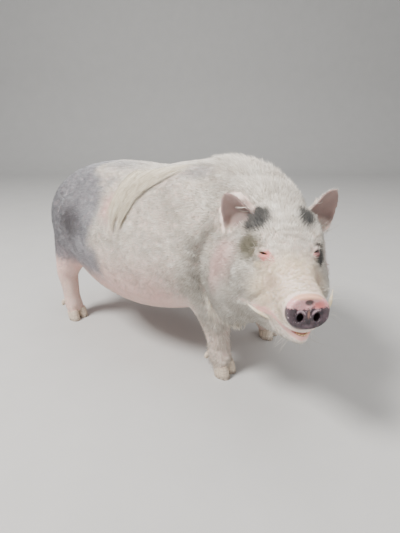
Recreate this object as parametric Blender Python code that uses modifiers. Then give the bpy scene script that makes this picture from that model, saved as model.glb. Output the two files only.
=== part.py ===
"""A pot-bellied pig, life size: it stands square on four feet with its head turned to its right.

The flesh is modelled whole from a few lofted and rounded forms, fused and smoothed, and then parted
into torso, neck, head, snout, jaw and legs by thin cuts. Ears, eyes, tusks, hooves and tail are made
on their own. The long bristles are flat tapered locks that are joined to the node they grow from.
"""

import math
import random
from collections import namedtuple

import bmesh
import bpy
import numpy as np
from mathutils import Matrix, Vector
from mathutils.bvhtree import BVHTree

# Driving dimensions, in metres
WITHERS = 0.505  # floor to the skin over the shoulders
TRUNK_LENGTH = 0.690  # point of the rump to the chest
BARREL = 0.214  # half the width of the belly
LEG_SPREAD = 0.112  # each foot from the middle plane
CHEST_X = 0.350
RUMP_X = CHEST_X - TRUNK_LENGTH
FORE_FOOT_X = 0.242
HIND_FOOT_X = -0.289
STEP_FORE = 0.015  # how far the left fore foot is ahead of the right one
STEP_HIND = -0.012
GAP = 0.0003  # between pieces that touch
VOXEL = 0.007

# The head has its own frame: origin between the eyes, +X to the snout, +Y to the pig's left
HEAD_ORIGIN = Vector((0.411, -0.159, 0.3575))
HEAD_YAW = math.radians(-51)
HEAD_PITCH = math.radians(4)
HEAD = (
    Matrix.Translation(HEAD_ORIGIN)
    @ Matrix.Rotation(HEAD_YAW, 4, "Z")
    @ Matrix.Rotation(HEAD_PITCH, 4, "Y")
)
EYE_SPREAD = 0.047  # each eye from the middle plane of the head
EYE_RADIUS = 0.0105
SNOUT_X = 0.128
SNOUT_Z = -0.056
SNOUT_HALF_WIDTH = 0.037
SNOUT_HALF_HEIGHT = 0.0305
MOUTH_BACK = (0.0, 0.0, -0.087)  # the corner of the mouth, in the head's frame
MOUTH_TILT = math.radians(5)  # the mouth runs down towards the chin
MOUTH_OPENS = math.radians(9)  # and gapes a little in front
MOUTH_OPENS_X = 0.062
SNOUT_CUT_X = 0.110
SNOUT_THICK = 0.019
LID_HALF_LENGTH = 0.0135
LIP_ROLL = 0.0042  # the lips' thickness, from the line of the mouth to their middle
LIP_SINK = 0.0018
LIP_TURN = 118  # degrees round the muzzle from the middle of the lips to the corner of the mouth

LEG_INNER_Y = 0.060  # the inner side of each leg where it leaves the belly
TOE_SPREAD = 0.0142  # each hoof from the middle of its foot
TOE_SPLAY = 7  # degrees
CORONET_Z = 0.026  # where the hoof's horn meets the skin
CORONET_TILT = math.radians(-16)

SIDES = {"right": -1, "left": 1}

TUSKS = {
    "right": [
        (0.050, -0.024, -0.116, 0.0046, 0.0044, 0.0044, -60),
        (0.047, -0.044, -0.107, 0.0046, 0.0040, 0.0040, -60),
        (0.040, -0.064, -0.098, 0.0036, 0.0031, 0.0031, -60),
        (0.029, -0.080, -0.088, 0.0013, 0.0011, 0.0011, -60),
    ],
    "left": [
        (0.070, 0.030, -0.108, 0.0060, 0.0055, 0.0055, 60),
        (0.072, 0.047, -0.094, 0.0055, 0.0045, 0.0045, 60),
        (0.068, 0.061, -0.072, 0.0045, 0.0038, 0.0038, 60),
        (0.060, 0.067, -0.047, 0.0015, 0.0013, 0.0013, 60),
    ],
}
EARS = {
    "right": ((-0.070, -0.072, 0.016), (-0.093, -0.110, 0.091), (1, -0.62, 0.2)),
    "left": ((-0.074, 0.075, 0.022), (-0.090, 0.116, 0.095), (1, 0.45, 0.2)),
}

# The middle line of the back and neck, seen from above
SPINE = [  # x and y of the line the crest follows, from the loins to the poll
    (-0.22, 0),
    (-0.08, 0),
    (0.06, 0),
    (0.17, -0.002),
    (0.245, -0.018),
    (0.295, -0.052),
    (0.335, -0.098),
]
COAT_SEED = 7
COAT_NODES = ("torso", "neck", "head", "lower_jaw")
LOCK_SINK = 0.008  # how deep a lock's root lies in the skin
CREST_SPACING = 0.030
TAIL_TIP = Vector((-0.380, 0.014, 0.268))
LOCK_CLEAR = 0.003  # how far a lock lies off the skin past its root

for old in list(bpy.data.objects):
    bpy.data.objects.remove(old)

pig_collection = bpy.data.collections.new("pot_bellied_pig")
cutter_collection = bpy.data.collections.new("cutters")
bpy.context.scene.collection.children.link(pig_collection)
bpy.context.scene.collection.children.link(cutter_collection)


def material(name, colour, roughness):
    made = bpy.data.materials.new(name)
    made.use_nodes = True
    shader = made.node_tree.nodes["Principled BSDF"]
    shader.inputs["Base Color"].default_value = (*colour, 1)
    shader.inputs["Roughness"].default_value = roughness
    return made


SKIN = material("bristly_skin", (0.74, 0.66, 0.60), 0.75)
NOSE = material("nose_skin", (0.42, 0.24, 0.24), 0.45)
HORN = material("horn", (0.55, 0.45, 0.36), 0.5)
IVORY = material("ivory", (0.86, 0.80, 0.66), 0.35)
EYE = material("eye", (0.05, 0.03, 0.02), 0.1)


def object_from(name, bm, collection=pig_collection):
    """Makes an object of a closed mesh, with its faces pointing out."""
    if bm.calc_volume(signed=True) < 0:
        bmesh.ops.reverse_faces(bm, faces=bm.faces[:])
    mesh = bpy.data.meshes.new(name)
    bm.to_mesh(mesh)
    bm.free()
    obj = bpy.data.objects.new(name, mesh)
    collection.objects.link(obj)
    return obj


def bake(obj):
    """Puts the result of the modifiers in the object's own mesh."""
    graph = bpy.context.evaluated_depsgraph_get()
    old = obj.data
    obj.data = bpy.data.meshes.new_from_object(obj.evaluated_get(graph))
    obj.modifiers.clear()
    bpy.data.meshes.remove(old)
    return obj


def discard(obj):
    mesh = obj.data
    bpy.data.objects.remove(obj)
    bpy.data.meshes.remove(mesh)


def keep_largest(obj):
    """Keeps the largest closed surface of a mesh and drops the scraps."""
    bm = bmesh.new()
    bm.from_mesh(obj.data)
    seen = set()
    shells = []
    for start in bm.verts:
        if start in seen:
            continue
        shell = [start]
        seen.add(start)
        for vert in shell:
            for edge in vert.link_edges:
                other = edge.other_vert(vert)
                if other not in seen:
                    seen.add(other)
                    shell.append(other)
        shells.append(shell)
    shells.sort(key=len, reverse=True)
    for shell in shells[1:]:
        bmesh.ops.delete(bm, geom=shell, context="VERTS")
    bm.to_mesh(obj.data)
    bm.free()
    return obj


def tree_of(obj):
    return BVHTree.FromObject(obj, bpy.context.evaluated_depsgraph_get())


def combine(obj, other, operation):
    """A Boolean of obj with one closed mesh, applied."""
    cut = obj.modifiers.new(operation, "BOOLEAN")
    cut.operation = operation
    cut.solver = "MANIFOLD"
    cut.object = other
    return bake(obj)


def fuse_into(obj, pieces, name):
    """One Boolean union of obj with a collection of closed pieces, which are then removed."""
    if not pieces:
        return obj
    group = bpy.data.collections.new(name)
    bpy.context.scene.collection.children.link(group)
    for piece in pieces:
        for holder in list(piece.users_collection):
            holder.objects.unlink(piece)
        group.objects.link(piece)
    join = obj.modifiers.new("Union", "BOOLEAN")
    join.operation = "UNION"
    join.operand_type = "COLLECTION"
    join.collection = group
    join.solver = "MANIFOLD"
    bake(obj)
    for piece in pieces:
        discard(piece)
    bpy.data.collections.remove(group)
    return keep_largest(obj)


def smooth_path(rows, t):
    """A Catmull-Rom curve through rows of equal length, with t from 0 to 1 along them."""
    rows = np.array(rows, float)
    last = len(rows) - 1
    x = np.clip(np.asarray(t, float) * last, 0, last)
    i = np.minimum(x.astype(int), last - 1)
    f = (x - i)[:, None]
    before, start = rows[np.maximum(i - 1, 0)], rows[i]
    end, after = rows[i + 1], rows[np.minimum(i + 2, last)]
    return 0.5 * (
        2 * start
        + (end - before) * f
        + (2 * before - 5 * start + 4 * end - after) * f**2
        + (3 * start - before - 3 * end + after) * f**3
    )


Station = namedtuple("Station", "x y z half_width up down yaw", defaults=(0.0,))


def loft(name, stations, frame=None, sides=32, rings=40, cap=0.10, square=2.2):
    """A closed body along a path of stations: a sphere whose rings take each station's section.

    cap is the share of the path that each rounded end takes, and square is the power of the
    section's superellipse. A station's yaw, in degrees, turns its section about +Z.
    """
    bm = bmesh.new()
    bmesh.ops.create_uvsphere(bm, u_segments=sides, v_segments=rings, radius=1.0)
    unit = np.array([v.co[:] for v in bm.verts])
    t = (1 - unit[:, 2]) / 2
    turn = np.arctan2(unit[:, 1], unit[:, 0])
    at = smooth_path(stations, t)
    step = 1e-3
    tangent = (
        smooth_path(stations, np.clip(t + step, 0, 1))[:, :3]
        - smooth_path(stations, np.clip(t - step, 0, 1))[:, :3]
    )
    tangent /= np.linalg.norm(tangent, axis=1)[:, None]
    yaw = np.radians(at[:, 6])
    lateral = np.stack([-np.sin(yaw), np.cos(yaw), np.zeros_like(yaw)], axis=1)
    lateral -= tangent * np.sum(lateral * tangent, axis=1)[:, None]
    lateral /= np.linalg.norm(lateral, axis=1)[:, None]
    up = np.cross(tangent, lateral)
    from_end = np.minimum(1, np.minimum(t, 1 - t) / cap)
    closing = np.sqrt(np.maximum(0, 1 - (1 - from_end) ** 2))
    c, s = np.cos(turn), np.sin(turn)
    reach = closing * (np.abs(c) ** square + np.abs(s) ** square) ** (-1 / square)
    high = np.where(s > 0, at[:, 4], at[:, 5])
    place = at[:, :3] + lateral * (at[:, 3] * c * reach)[:, None] + up * (high * s * reach)[:, None]
    for vert, co in zip(bm.verts, place):
        vert.co = co
    if frame is not None:
        bm.transform(frame)
    return object_from(name, bm)


def blob(name, centre, radii, pitch=0, yaw=0, frame=None, sides=24):
    """An ellipsoid: a sphere stretched to radii, turned by pitch about Y and yaw about Z."""
    bm = bmesh.new()
    bmesh.ops.create_uvsphere(bm, u_segments=sides, v_segments=sides * 2 // 3, radius=1.0)
    bm.transform(
        (frame or Matrix())
        @ Matrix.Translation(centre)
        @ Matrix.Rotation(math.radians(yaw), 4, "Z")
        @ Matrix.Rotation(math.radians(pitch), 4, "Y")
        @ Matrix.Diagonal((*radii, 1))
    )
    return object_from(name, bm)


def box(name, low, high, frame=None):
    """A closed box between two corners, in the given frame."""
    low, high = Vector(low), Vector(high)
    bm = bmesh.new()
    bmesh.ops.create_cube(bm, size=1)
    bm.transform(
        (frame or Matrix())
        @ Matrix.Translation((low + high) / 2)
        @ Matrix.Diagonal((*(high - low), 1))
    )
    return object_from(name, bm, cutter_collection)


def trunk_station(along, top, belly, widest, width):
    """A section of the trunk. along is a share of its length from the rump, heights are shares of
    the withers' height, and width is a share of the barrel's."""
    z = widest * WITHERS
    return Station(
        RUMP_X + along * TRUNK_LENGTH, 0, z, width * BARREL, top * WITHERS - z, z - belly * WITHERS
    )


def make_trunk():
    return [
        loft(
            "trunk",
            [
                trunk_station(0.00, 0.866, 0.535, 0.712, 0.47),
                trunk_station(0.06, 0.926, 0.420, 0.683, 0.68),
                trunk_station(0.19, 0.956, 0.312, 0.634, 0.82),
                trunk_station(0.34, 0.954, 0.214, 0.594, 0.94),
                trunk_station(0.51, 0.950, 0.190, 0.554, 1.00),
                trunk_station(0.68, 0.984, 0.250, 0.574, 0.93),
                trunk_station(0.82, 1.000, 0.320, 0.614, 0.79),
                trunk_station(0.93, 0.960, 0.376, 0.644, 0.65),
                trunk_station(1.00, 0.871, 0.436, 0.653, 0.51),
            ],
            square=2.15,
            sides=48,
            rings=48,
        ),
        loft(
            "neck_form",
            [
                Station(0.10, 0.000, 0.335, 0.150, 0.162, 0.170, 0),
                Station(0.20, -0.005, 0.335, 0.152, 0.170, 0.155, -10),
                Station(0.27, -0.033, 0.335, 0.132, 0.162, 0.140, -30),
                Station(0.315, -0.075, 0.337, 0.110, 0.142, 0.126, -45),
                Station(0.345, -0.11, 0.334, 0.092, 0.112, 0.112, -50),
            ],
            cap=0.15,
            sides=40,
        ),
    ]


def make_head_forms():
    made = [
        loft(
            "skull",
            [
                Station(-0.130, 0, -0.030, 0.086, 0.098, 0.110),
                Station(-0.080, 0, -0.025, 0.095, 0.100, 0.120),
                Station(-0.040, 0, -0.025, 0.085, 0.080, 0.120),
                Station(0.000, 0, -0.035, 0.064, 0.052, 0.100),
                Station(0.040, 0, -0.045, 0.049, 0.038, 0.075),
                Station(0.080, 0, -0.054, 0.042, 0.032, 0.050),
                Station(0.106, 0, SNOUT_Z, 0.0385, 0.0315, 0.035),
                Station(SNOUT_X, 0, SNOUT_Z, 0.038, 0.031, 0.032),
            ],
            HEAD,
            cap=0.05,
        ),
        loft(
            "jaw_form",
            [
                Station(-0.070, 0, -0.118, 0.085, 0.050, 0.052),
                Station(0.000, 0, -0.122, 0.063, 0.044, 0.044),
                Station(0.045, 0, -0.118, 0.043, 0.036, 0.036),
                Station(0.085, 0, -0.114, 0.024, 0.025, 0.024),
                Station(0.117, 0, -0.115, 0.010, 0.013, 0.013),
            ],
            HEAD,
            cap=0.08,
        ),
        blob("upper_lip", (0.096, 0, -0.085), (0.026, 0.031, 0.013), 5, frame=HEAD),
        blob("jowl_right", (-0.074, -0.078, -0.092), (0.080, 0.060, 0.102), frame=HEAD),
        blob("jowl_left", (-0.085, 0.062, -0.100), (0.075, 0.050, 0.080), frame=HEAD),
    ]
    for side, sign in SIDES.items():
        made += [
            blob(f"brow_{side}", (-0.040, sign * 0.047, 0.025), (0.040, 0.028, 0.024), 20, sign * 20, HEAD),
            blob(
                f"cheek_{side}", (-0.005, sign * 0.048, -0.078), (0.066, 0.038, 0.054), 15, sign * -18, HEAD
            ),
            blob(f"lip_{side}", (0.062, sign * 0.023, -0.085), (0.052, 0.021, 0.020), 8, sign * -12, HEAD),
        ]
    return made


def foot_x(foot, side):
    """Where a foot stands: the left feet are a short step from the right ones."""
    x, step = {"fore": (FORE_FOOT_X, STEP_FORE), "hind": (HIND_FOOT_X, STEP_HIND)}[foot]
    return x + (step if side == "left" else 0)


def hoof_stations(x, y, splay, widen=0.0):
    """The path of one toe from the fetlock down past the sole, and forward as it goes."""
    return [
        Station(x - 0.002, y, 0.060, 0.013 + widen, 0.014 + widen, 0.016 + widen, splay),
        Station(x + 0.005, y, 0.036, 0.013 + widen, 0.016 + widen, 0.017 + widen, splay),
        Station(x + 0.010, y, 0.018, 0.0130 + widen, 0.019 + widen, 0.018 + widen, splay),
        Station(x + 0.015, y, -0.008, 0.0122 + widen, 0.020 + widen, 0.019 + widen, splay),
    ]


def make_legs():
    made = []
    for side, sign in SIDES.items():
        fore, hind = foot_x("fore", side), foot_x("hind", side)
        y = LEG_SPREAD * sign
        made += [
            loft(
                f"fore_form_{side}",
                [
                    Station(fore - 0.097, y, 0.36, 0.055, 0.110, 0.100),
                    Station(fore - 0.062, y, 0.26, 0.055, 0.080, 0.082),
                    Station(fore - 0.032, y, 0.19, 0.046, 0.055, 0.058),
                    Station(fore - 0.019, y, 0.15, 0.036, 0.041, 0.043),
                    Station(fore - 0.009, y, 0.105, 0.028, 0.031, 0.032),
                    Station(fore - 0.005, y, 0.07, 0.0255, 0.028, 0.028),
                    Station(fore, y, 0.045, 0.0265, 0.028, 0.028),
                    Station(fore + 0.004, y, 0.03, 0.0245, 0.023, 0.023),
                ],
                cap=0.06,
                sides=24,
            ),
            loft(
                f"hind_form_{side}",
                [
                    Station(hind + 0.044, y * 0.9, 0.36, 0.050, 0.075, 0.070),
                    Station(hind + 0.028, y * 0.95, 0.27, 0.052, 0.070, 0.060),
                    Station(hind + 0.008, y, 0.20, 0.042, 0.052, 0.046),
                    Station(hind - 0.010, y, 0.15, 0.031, 0.036, 0.035),
                    Station(hind - 0.006, y, 0.105, 0.0255, 0.029, 0.029),
                    Station(hind - 0.004, y, 0.07, 0.024, 0.027, 0.027),
                    Station(hind, y, 0.045, 0.0255, 0.027, 0.027),
                    Station(hind + 0.004, y, 0.03, 0.024, 0.0225, 0.0225),
                ],
                cap=0.06,
                sides=24,
            ),
            blob(f"shoulder_{side}", (0.15, sign * 0.115, 0.33), (0.12, 0.070, 0.14)),
            blob(f"ham_{side}", (-0.232, sign * 0.095, 0.312), (0.088, 0.074, 0.118)),
        ]
        for x in (fore, hind):
            for lean in (-1, 1):
                made.append(
                    loft(
                        "toe_form",
                        hoof_stations(x, y + lean * TOE_SPREAD, lean * TOE_SPLAY),
                        cap=0.05,
                        sides=16,
                    )
                )
    return made


def fuse_flesh(forms):
    """Fuses overlapping forms in one closed skin by a voxel remesh."""
    bm = bmesh.new()
    for form in forms:
        bm.from_mesh(form.data)
        discard(form)
    flesh = object_from("flesh", bm)
    remesh = flesh.modifiers.new("Remesh", "REMESH")
    remesh.mode = "VOXEL"
    remesh.voxel_size = VOXEL
    return bake(flesh)


def points_of(mesh):
    co = np.empty(len(mesh.vertices) * 3)
    mesh.vertices.foreach_get("co", co)
    return co.reshape(-1, 3)


def to_head(points):
    """Points in the head's frame."""
    inverse = np.array(HEAD.inverted())
    return points @ inverse[:3, :3].T + inverse[:3, 3]


def softening(points):
    """How far the smoothing may round each point: fully on the trunk, little on legs and muzzle."""
    rise = np.clip((points[:, 2] - 0.11) / 0.09, 0, 1)
    weight = 0.06 + 0.44 * rise**2 * (3 - 2 * rise)
    muzzle = np.clip((to_head(points)[:, 0] - 0.03) / 0.06, 0, 1)
    return weight * (1 - 0.75 * muzzle)


def soften(obj, rounds=16):
    """Rounds the creases where forms meet: each point moves towards its neighbours' mean."""
    mesh = obj.data
    co = points_of(mesh)
    ends = np.empty(len(mesh.edges) * 2, int)
    mesh.edges.foreach_get("vertices", ends)
    a, b = ends.reshape(-1, 2).T
    count = np.bincount(ends, minlength=len(co))[:, None]
    weight = softening(co)[:, None]
    for _ in range(rounds):
        total = np.stack(
            [np.bincount(a, co[b, k], len(co)) + np.bincount(b, co[a, k], len(co)) for k in range(3)],
            axis=1,
        )
        co = co + weight * (total / count - co)
    mesh.vertices.foreach_set("co", co.ravel())
    mesh.update()
    return obj


def thin_out(obj, all_over, elsewhere):
    """Decimates the fused skin, all over and then again everywhere but on the face."""
    for ratio, spare_face in ((all_over, False), (elsewhere, True)):
        few = obj.modifiers.new("Decimate", "DECIMATE")
        few.ratio = ratio
        few.use_collapse_triangulate = True
        if spare_face:
            co = points_of(obj.data)
            loose = (to_head(co)[:, 0] < -0.09) | (co[:, 2] < 0.17)
            group = obj.vertex_groups.new(name="loose")
            group.add(np.flatnonzero(loose).tolist(), 1.0, "REPLACE")
            few.vertex_group = group.name
            few.vertex_group_factor = 1e-6
        bake(obj)
        obj.vertex_groups.clear()
    return obj


def grown(obj, gap=GAP):
    """A copy of obj whose faces are moved out by the gap."""
    copy = obj.copy()
    copy.data = obj.data.copy()
    cutter_collection.objects.link(copy)
    swell = copy.modifiers.new("Displace", "DISPLACE")
    swell.strength = gap
    swell.mid_level = 0
    return bake(copy)


def cut_away(obj, *cutters):
    """Takes closed pieces out of obj, removes them and keeps the largest surface left."""
    for cutter in cutters:
        combine(obj, cutter, "DIFFERENCE")
        discard(cutter)
    return keep_largest(obj)


def clear(obj, *neighbours):
    """Trims obj so that it meets each neighbour face to face, with the gap between them."""
    return cut_away(obj, *[grown(neighbour) for neighbour in neighbours])


def part_off(body, name, low, high, frame, skin):
    """Parts a piece from the body by an oriented box. Half of the gap is taken from either side."""
    half = Vector((GAP, GAP, GAP)) / 2
    piece = body.copy()
    piece.data = body.data.copy()
    piece.name = name
    pig_collection.objects.link(piece)
    inner = box("inner", Vector(low) + half, Vector(high) - half, frame)
    combine(piece, inner, "INTERSECT")
    discard(inner)
    keep_largest(piece)
    finish(piece, skin)
    cut_away(body, box("outer", Vector(low) - half, Vector(high) + half, frame))
    return piece


def finish(obj, look):
    obj.data.materials.clear()
    obj.data.materials.append(look)
    return obj


def plane_frame(point, yaw=0, pitch=0, roll=0, frame=None):
    """A frame at a point, turned by yaw about Z, then pitch about Y and roll about X, in degrees."""
    return (
        (frame or Matrix())
        @ Matrix.Translation(point)
        @ Matrix.Rotation(math.radians(yaw), 4, "Z")
        @ Matrix.Rotation(math.radians(pitch), 4, "Y")
        @ Matrix.Rotation(math.radians(roll), 4, "X")
    )


def ear(name, base, tip, facing, half_width=0.036, thick=0.004, scroll=75, rows=9, across=8):
    """A leaf between base and tip, cupped towards facing. All are in the head's frame."""
    base, tip, facing = Vector(base), Vector(tip), Vector(facing)
    length = (tip - base).length
    along = (tip - base) / length
    out = (facing - along * facing.dot(along)).normalized()
    side = along.cross(out)
    bm = bmesh.new()
    bmesh.ops.create_grid(bm, x_segments=across, y_segments=rows, size=1)
    for vert in bm.verts:
        u = (vert.co.y + 1) / 2
        v = vert.co.x
        width = half_width * (1 - u**2.6) ** 0.60 * (0.86 + 0.14 * math.sin(math.pi * min(1, u / 0.5)))
        curl = math.radians(scroll * (1 - u) ** 0.8 + 14)
        radius = max(width, 0.0015) / math.sin(min(curl, math.pi / 2))
        vert.co = (
            base
            + along * (u * length)
            + side * (radius * math.sin(v * curl))
            + out * (radius * (math.cos(curl) - math.cos(v * curl)))
        )
    bm.transform(HEAD)
    leaf = object_from(name, bm)
    wall = leaf.modifiers.new("Solidify", "SOLIDIFY")
    wall.thickness = thick
    wall.offset = 0
    return finish(bake(leaf), SKIN)


def socket_frame(skin_tree, at):
    """A frame on the head's skin at a point: +X out of the skin, +Y along the face, +Z up."""
    point, normal, _, _ = skin_tree.find_nearest(HEAD @ Vector(at))
    up = HEAD.to_3x3() @ Vector((0, 0, 1))
    side = up.cross(normal).normalized()
    up = normal.cross(side)
    return Matrix.Translation(point) @ Matrix((normal, side, up)).transposed().to_4x4()


def tube(name, stations, frame, sides=5):
    """A round roll along any path, thin at both ends."""
    points = [Vector(station[:3]) for station in stations]
    bm = bmesh.new()
    rings = []
    for i, point in enumerate(points):
        ahead = (points[min(i + 1, len(points) - 1)] - points[max(i - 1, 0)]).normalized()
        across = Vector((0, 0, 1)).cross(ahead).normalized()
        up = ahead.cross(across)
        share = i / (len(points) - 1)
        radius = stations[i].up * (0.35 + 0.65 * math.sin(math.pi * share) ** 0.5)
        turns = [2 * math.pi * j / sides for j in range(sides)]
        spokes = [across * math.cos(a) + up * math.sin(a) for a in turns]
        rings.append([bm.verts.new(point + spoke * radius) for spoke in spokes])
    for low, high in zip(rings, rings[1:]):
        for j in range(sides):
            k = (j + 1) % sides
            bm.faces.new((low[j], low[k], high[k], high[j]))
    bm.faces.new(rings[0][::-1])
    bm.faces.new(rings[-1])
    bmesh.ops.recalc_face_normals(bm, faces=bm.faces[:])
    bm.transform(frame)
    return object_from(name, bm)


def roll_of_skin(name, path, thickness, frame, sides=8, rings=10):
    """A thin roll along a path, such as a lid or a lip: it tapers to both ends."""
    stations = []
    for i, point in enumerate(path):
        share = i / (len(path) - 1)
        r = thickness * (0.45 + 0.55 * math.sin(math.pi * share))
        stations.append(Station(*point, r, r, r, 90))
    return loft(name, stations, frame, sides, rings, cap=0.12, square=2)


def mouth_outline(skin, frame, count, rise):
    """Points on the skin round the muzzle at the height of the mouth, from one corner to the other."""
    turn = frame.to_3x3()
    centre = Vector((0.05, 0, 0))
    points = []
    for i in range(count):
        angle = math.radians(LIP_TURN * (2 * i / (count - 1) - 1))
        away = Vector((math.cos(angle), math.sin(angle), 0))
        level = Vector((0, 0, rise))
        hit = skin.ray_cast(frame @ (centre + away * 0.2 + level), turn @ -away)[0]
        points.append(frame.inverted() @ hit - away * LIP_SINK)
    return points


def make_lips(nodes, skin):
    """A roll of skin along the upper lip and one along the lower, which droops where the mouth gapes."""
    frame = cut_frames()["jaw"]
    upper = mouth_outline(skin, frame, 11, LIP_ROLL)
    lower = mouth_outline(skin, frame, 15, -LIP_ROLL)
    for point in lower:
        point.z -= max(0, point.x - MOUTH_OPENS_X) * math.tan(MOUTH_OPENS)
    for owner, path in (("head", upper), ("lower_jaw", lower)):
        stations = [Station(*point, LIP_ROLL, LIP_ROLL, LIP_ROLL) for point in path]
        lip = tube("lip", stations, frame)
        grow_on(nodes, owner, [lip])


def make_hoof(name, x, y, splay):
    hoof = loft(name, hoof_stations(x, y, splay, 0.0012), cap=0.04, sides=12, rings=8)
    coronet = plane_frame((x, y, CORONET_Z), pitch=math.degrees(CORONET_TILT))
    cut_away(
        hoof,
        box("below", (-1, -1, -1), (1, 1, 0)),
        box("above", (-0.2, -0.2, GAP / 2), (0.2, 0.2, 0.2), coronet),
    )
    return finish(hoof, HORN)


def cut_frames():
    """The planes that part the body. Each frame's +X or +Z points into the piece that it gives."""
    frames = {
        "head": plane_frame((-0.134, 0, -0.025), pitch=-9, frame=HEAD),
        "snout": plane_frame((SNOUT_CUT_X, 0, SNOUT_Z), pitch=-6, frame=HEAD),
        "jaw": plane_frame(MOUTH_BACK, pitch=math.degrees(MOUTH_TILT), frame=HEAD),
        "neck": plane_frame((0.262, -0.01, 0.34), yaw=-12, pitch=-15),
    }
    for side, sign in SIDES.items():
        y = sign * LEG_SPREAD
        at = (foot_x("fore", side) - 0.02, y, 0.165)
        frames[f"fore_{side}"] = plane_frame(at, pitch=-20, roll=sign * 15)
        frames[f"hind_{side}"] = plane_frame((foot_x("hind", side), y, 0.178), roll=sign * 15)
    return frames


def make_snout(face):
    """The nose disc: flat in front, with a rounded rim that stands a little proud of the muzzle."""
    wide, high = SNOUT_HALF_WIDTH, SNOUT_HALF_HEIGHT
    disc = loft(
        "snout",
        [
            Station(-0.006, 0, 0, wide * 0.90, high * 0.90, high * 0.90),
            Station(0.004, 0, 0, wide * 0.97, high * 0.97, high * 0.95),
            Station(0.012, 0, 0, wide, high, high),
            Station(SNOUT_THICK, 0, 0, wide * 0.92, high * 0.90, high * 0.92),
        ],
        face,
        sides=26,
        rings=12,
        cap=0.16,
        square=2.3,
    )
    dish = (0.024, wide * 0.85, high * 0.80)
    hollow = blob("hollow", (SNOUT_THICK + 0.022, 0, 0), dish, frame=face, sides=20)
    holes = [
        blob("hole", (SNOUT_THICK, sign * 0.0138, -0.002), (0.013, 0.0058, 0.0080), 0, sign * 20, face, 12)
        for sign in SIDES.values()
    ]
    cut_away(disc, hollow, *holes, box("back", (-0.1, -0.1, -0.1), (GAP, 0.1, 0.1), face))
    return finish(disc, NOSE)


def gape_frame():
    """The top of the lower jaw where the lips are open: +X to the chin, +Z out of the jaw."""
    at = (MOUTH_OPENS_X, 0, -0.0005)
    return plane_frame(at, pitch=math.degrees(MOUTH_OPENS), frame=cut_frames()["jaw"])


def make_body():
    """Models the flesh whole and parts it. The order is head, legs, neck, and the torso stays."""
    body = thin_out(soften(fuse_flesh(make_trunk() + make_head_forms() + make_legs())), 0.10, 0.5)
    skin = tree_of(body)
    frames = cut_frames()
    nodes = {}
    head = part_off(body, "head", (0, -0.4, -0.17), (0.4, 0.4, 0.3), frames["head"], SKIN)
    cut_away(head, box("nose", (0, -0.1, -SNOUT_HALF_HEIGHT - 0.002), (0.1, 0.1, 0.1), frames["snout"]))
    nodes["snout"] = make_snout(frames["snout"])
    nodes["lower_jaw"] = part_off(head, "lower_jaw", (0, -0.2, -0.2), (0.3, 0.2, 0), frames["jaw"], SKIN)
    nodes["head"] = head
    for side, sign in SIDES.items():
        near, far = sorted((-sign * (LEG_SPREAD - LEG_INNER_Y), sign * 0.12))
        nodes[f"leg_fore_{side}"] = part_off(
            body, f"leg_fore_{side}", (-0.10, near, -0.3), (0.16, far, 0), frames[f"fore_{side}"], SKIN
        )
        nodes[f"leg_hind_{side}"] = part_off(
            body, f"leg_hind_{side}", (-0.16, near, -0.3), (0.06, far, 0), frames[f"hind_{side}"], SKIN
        )
    nodes["neck"] = part_off(body, "neck", (0, -0.4, -0.3), (0.4, 0.4, 0.4), frames["neck"], SKIN)
    body.name = "torso"
    nodes["torso"] = finish(body, SKIN)
    return nodes, skin


def make_feet(nodes):
    """Two hooves stand under the coronet of each foot, and two dewclaws hang behind its pastern."""
    for side, sign in SIDES.items():
        for foot in ("fore", "hind"):
            leg = nodes[f"leg_{foot}_{side}"]
            x = foot_x(foot, side)
            for part, lean in (("inner", -sign), ("outer", sign)):
                y = sign * LEG_SPREAD + lean * TOE_SPREAD
                name = f"{foot}_{side}_{part}"
                nodes[f"hoof_{name}"] = make_hoof(f"hoof_{name}", x, y, lean * TOE_SPLAY)
                claw = loft(
                    f"dewclaw_{name}",
                    [
                        Station(x - 0.014, sign * LEG_SPREAD + lean * 0.010, 0.060, 0.0075, 0.0075, 0.0075),
                        Station(x - 0.027, sign * LEG_SPREAD + lean * 0.015, 0.050, 0.0065, 0.0065, 0.0065),
                        Station(x - 0.032, sign * LEG_SPREAD + lean * 0.017, 0.038, 0.0040, 0.0045, 0.0045),
                    ],
                    sides=8,
                    rings=6,
                )
                nodes[f"dewclaw_{name}"] = finish(clear(claw, leg), HORN)
            under = plane_frame((x, sign * LEG_SPREAD, CORONET_Z), pitch=math.degrees(CORONET_TILT))
            cut_away(leg, box("under", (-0.2, -0.07, -0.1), (0.2, 0.07, GAP / 2), under))


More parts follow.
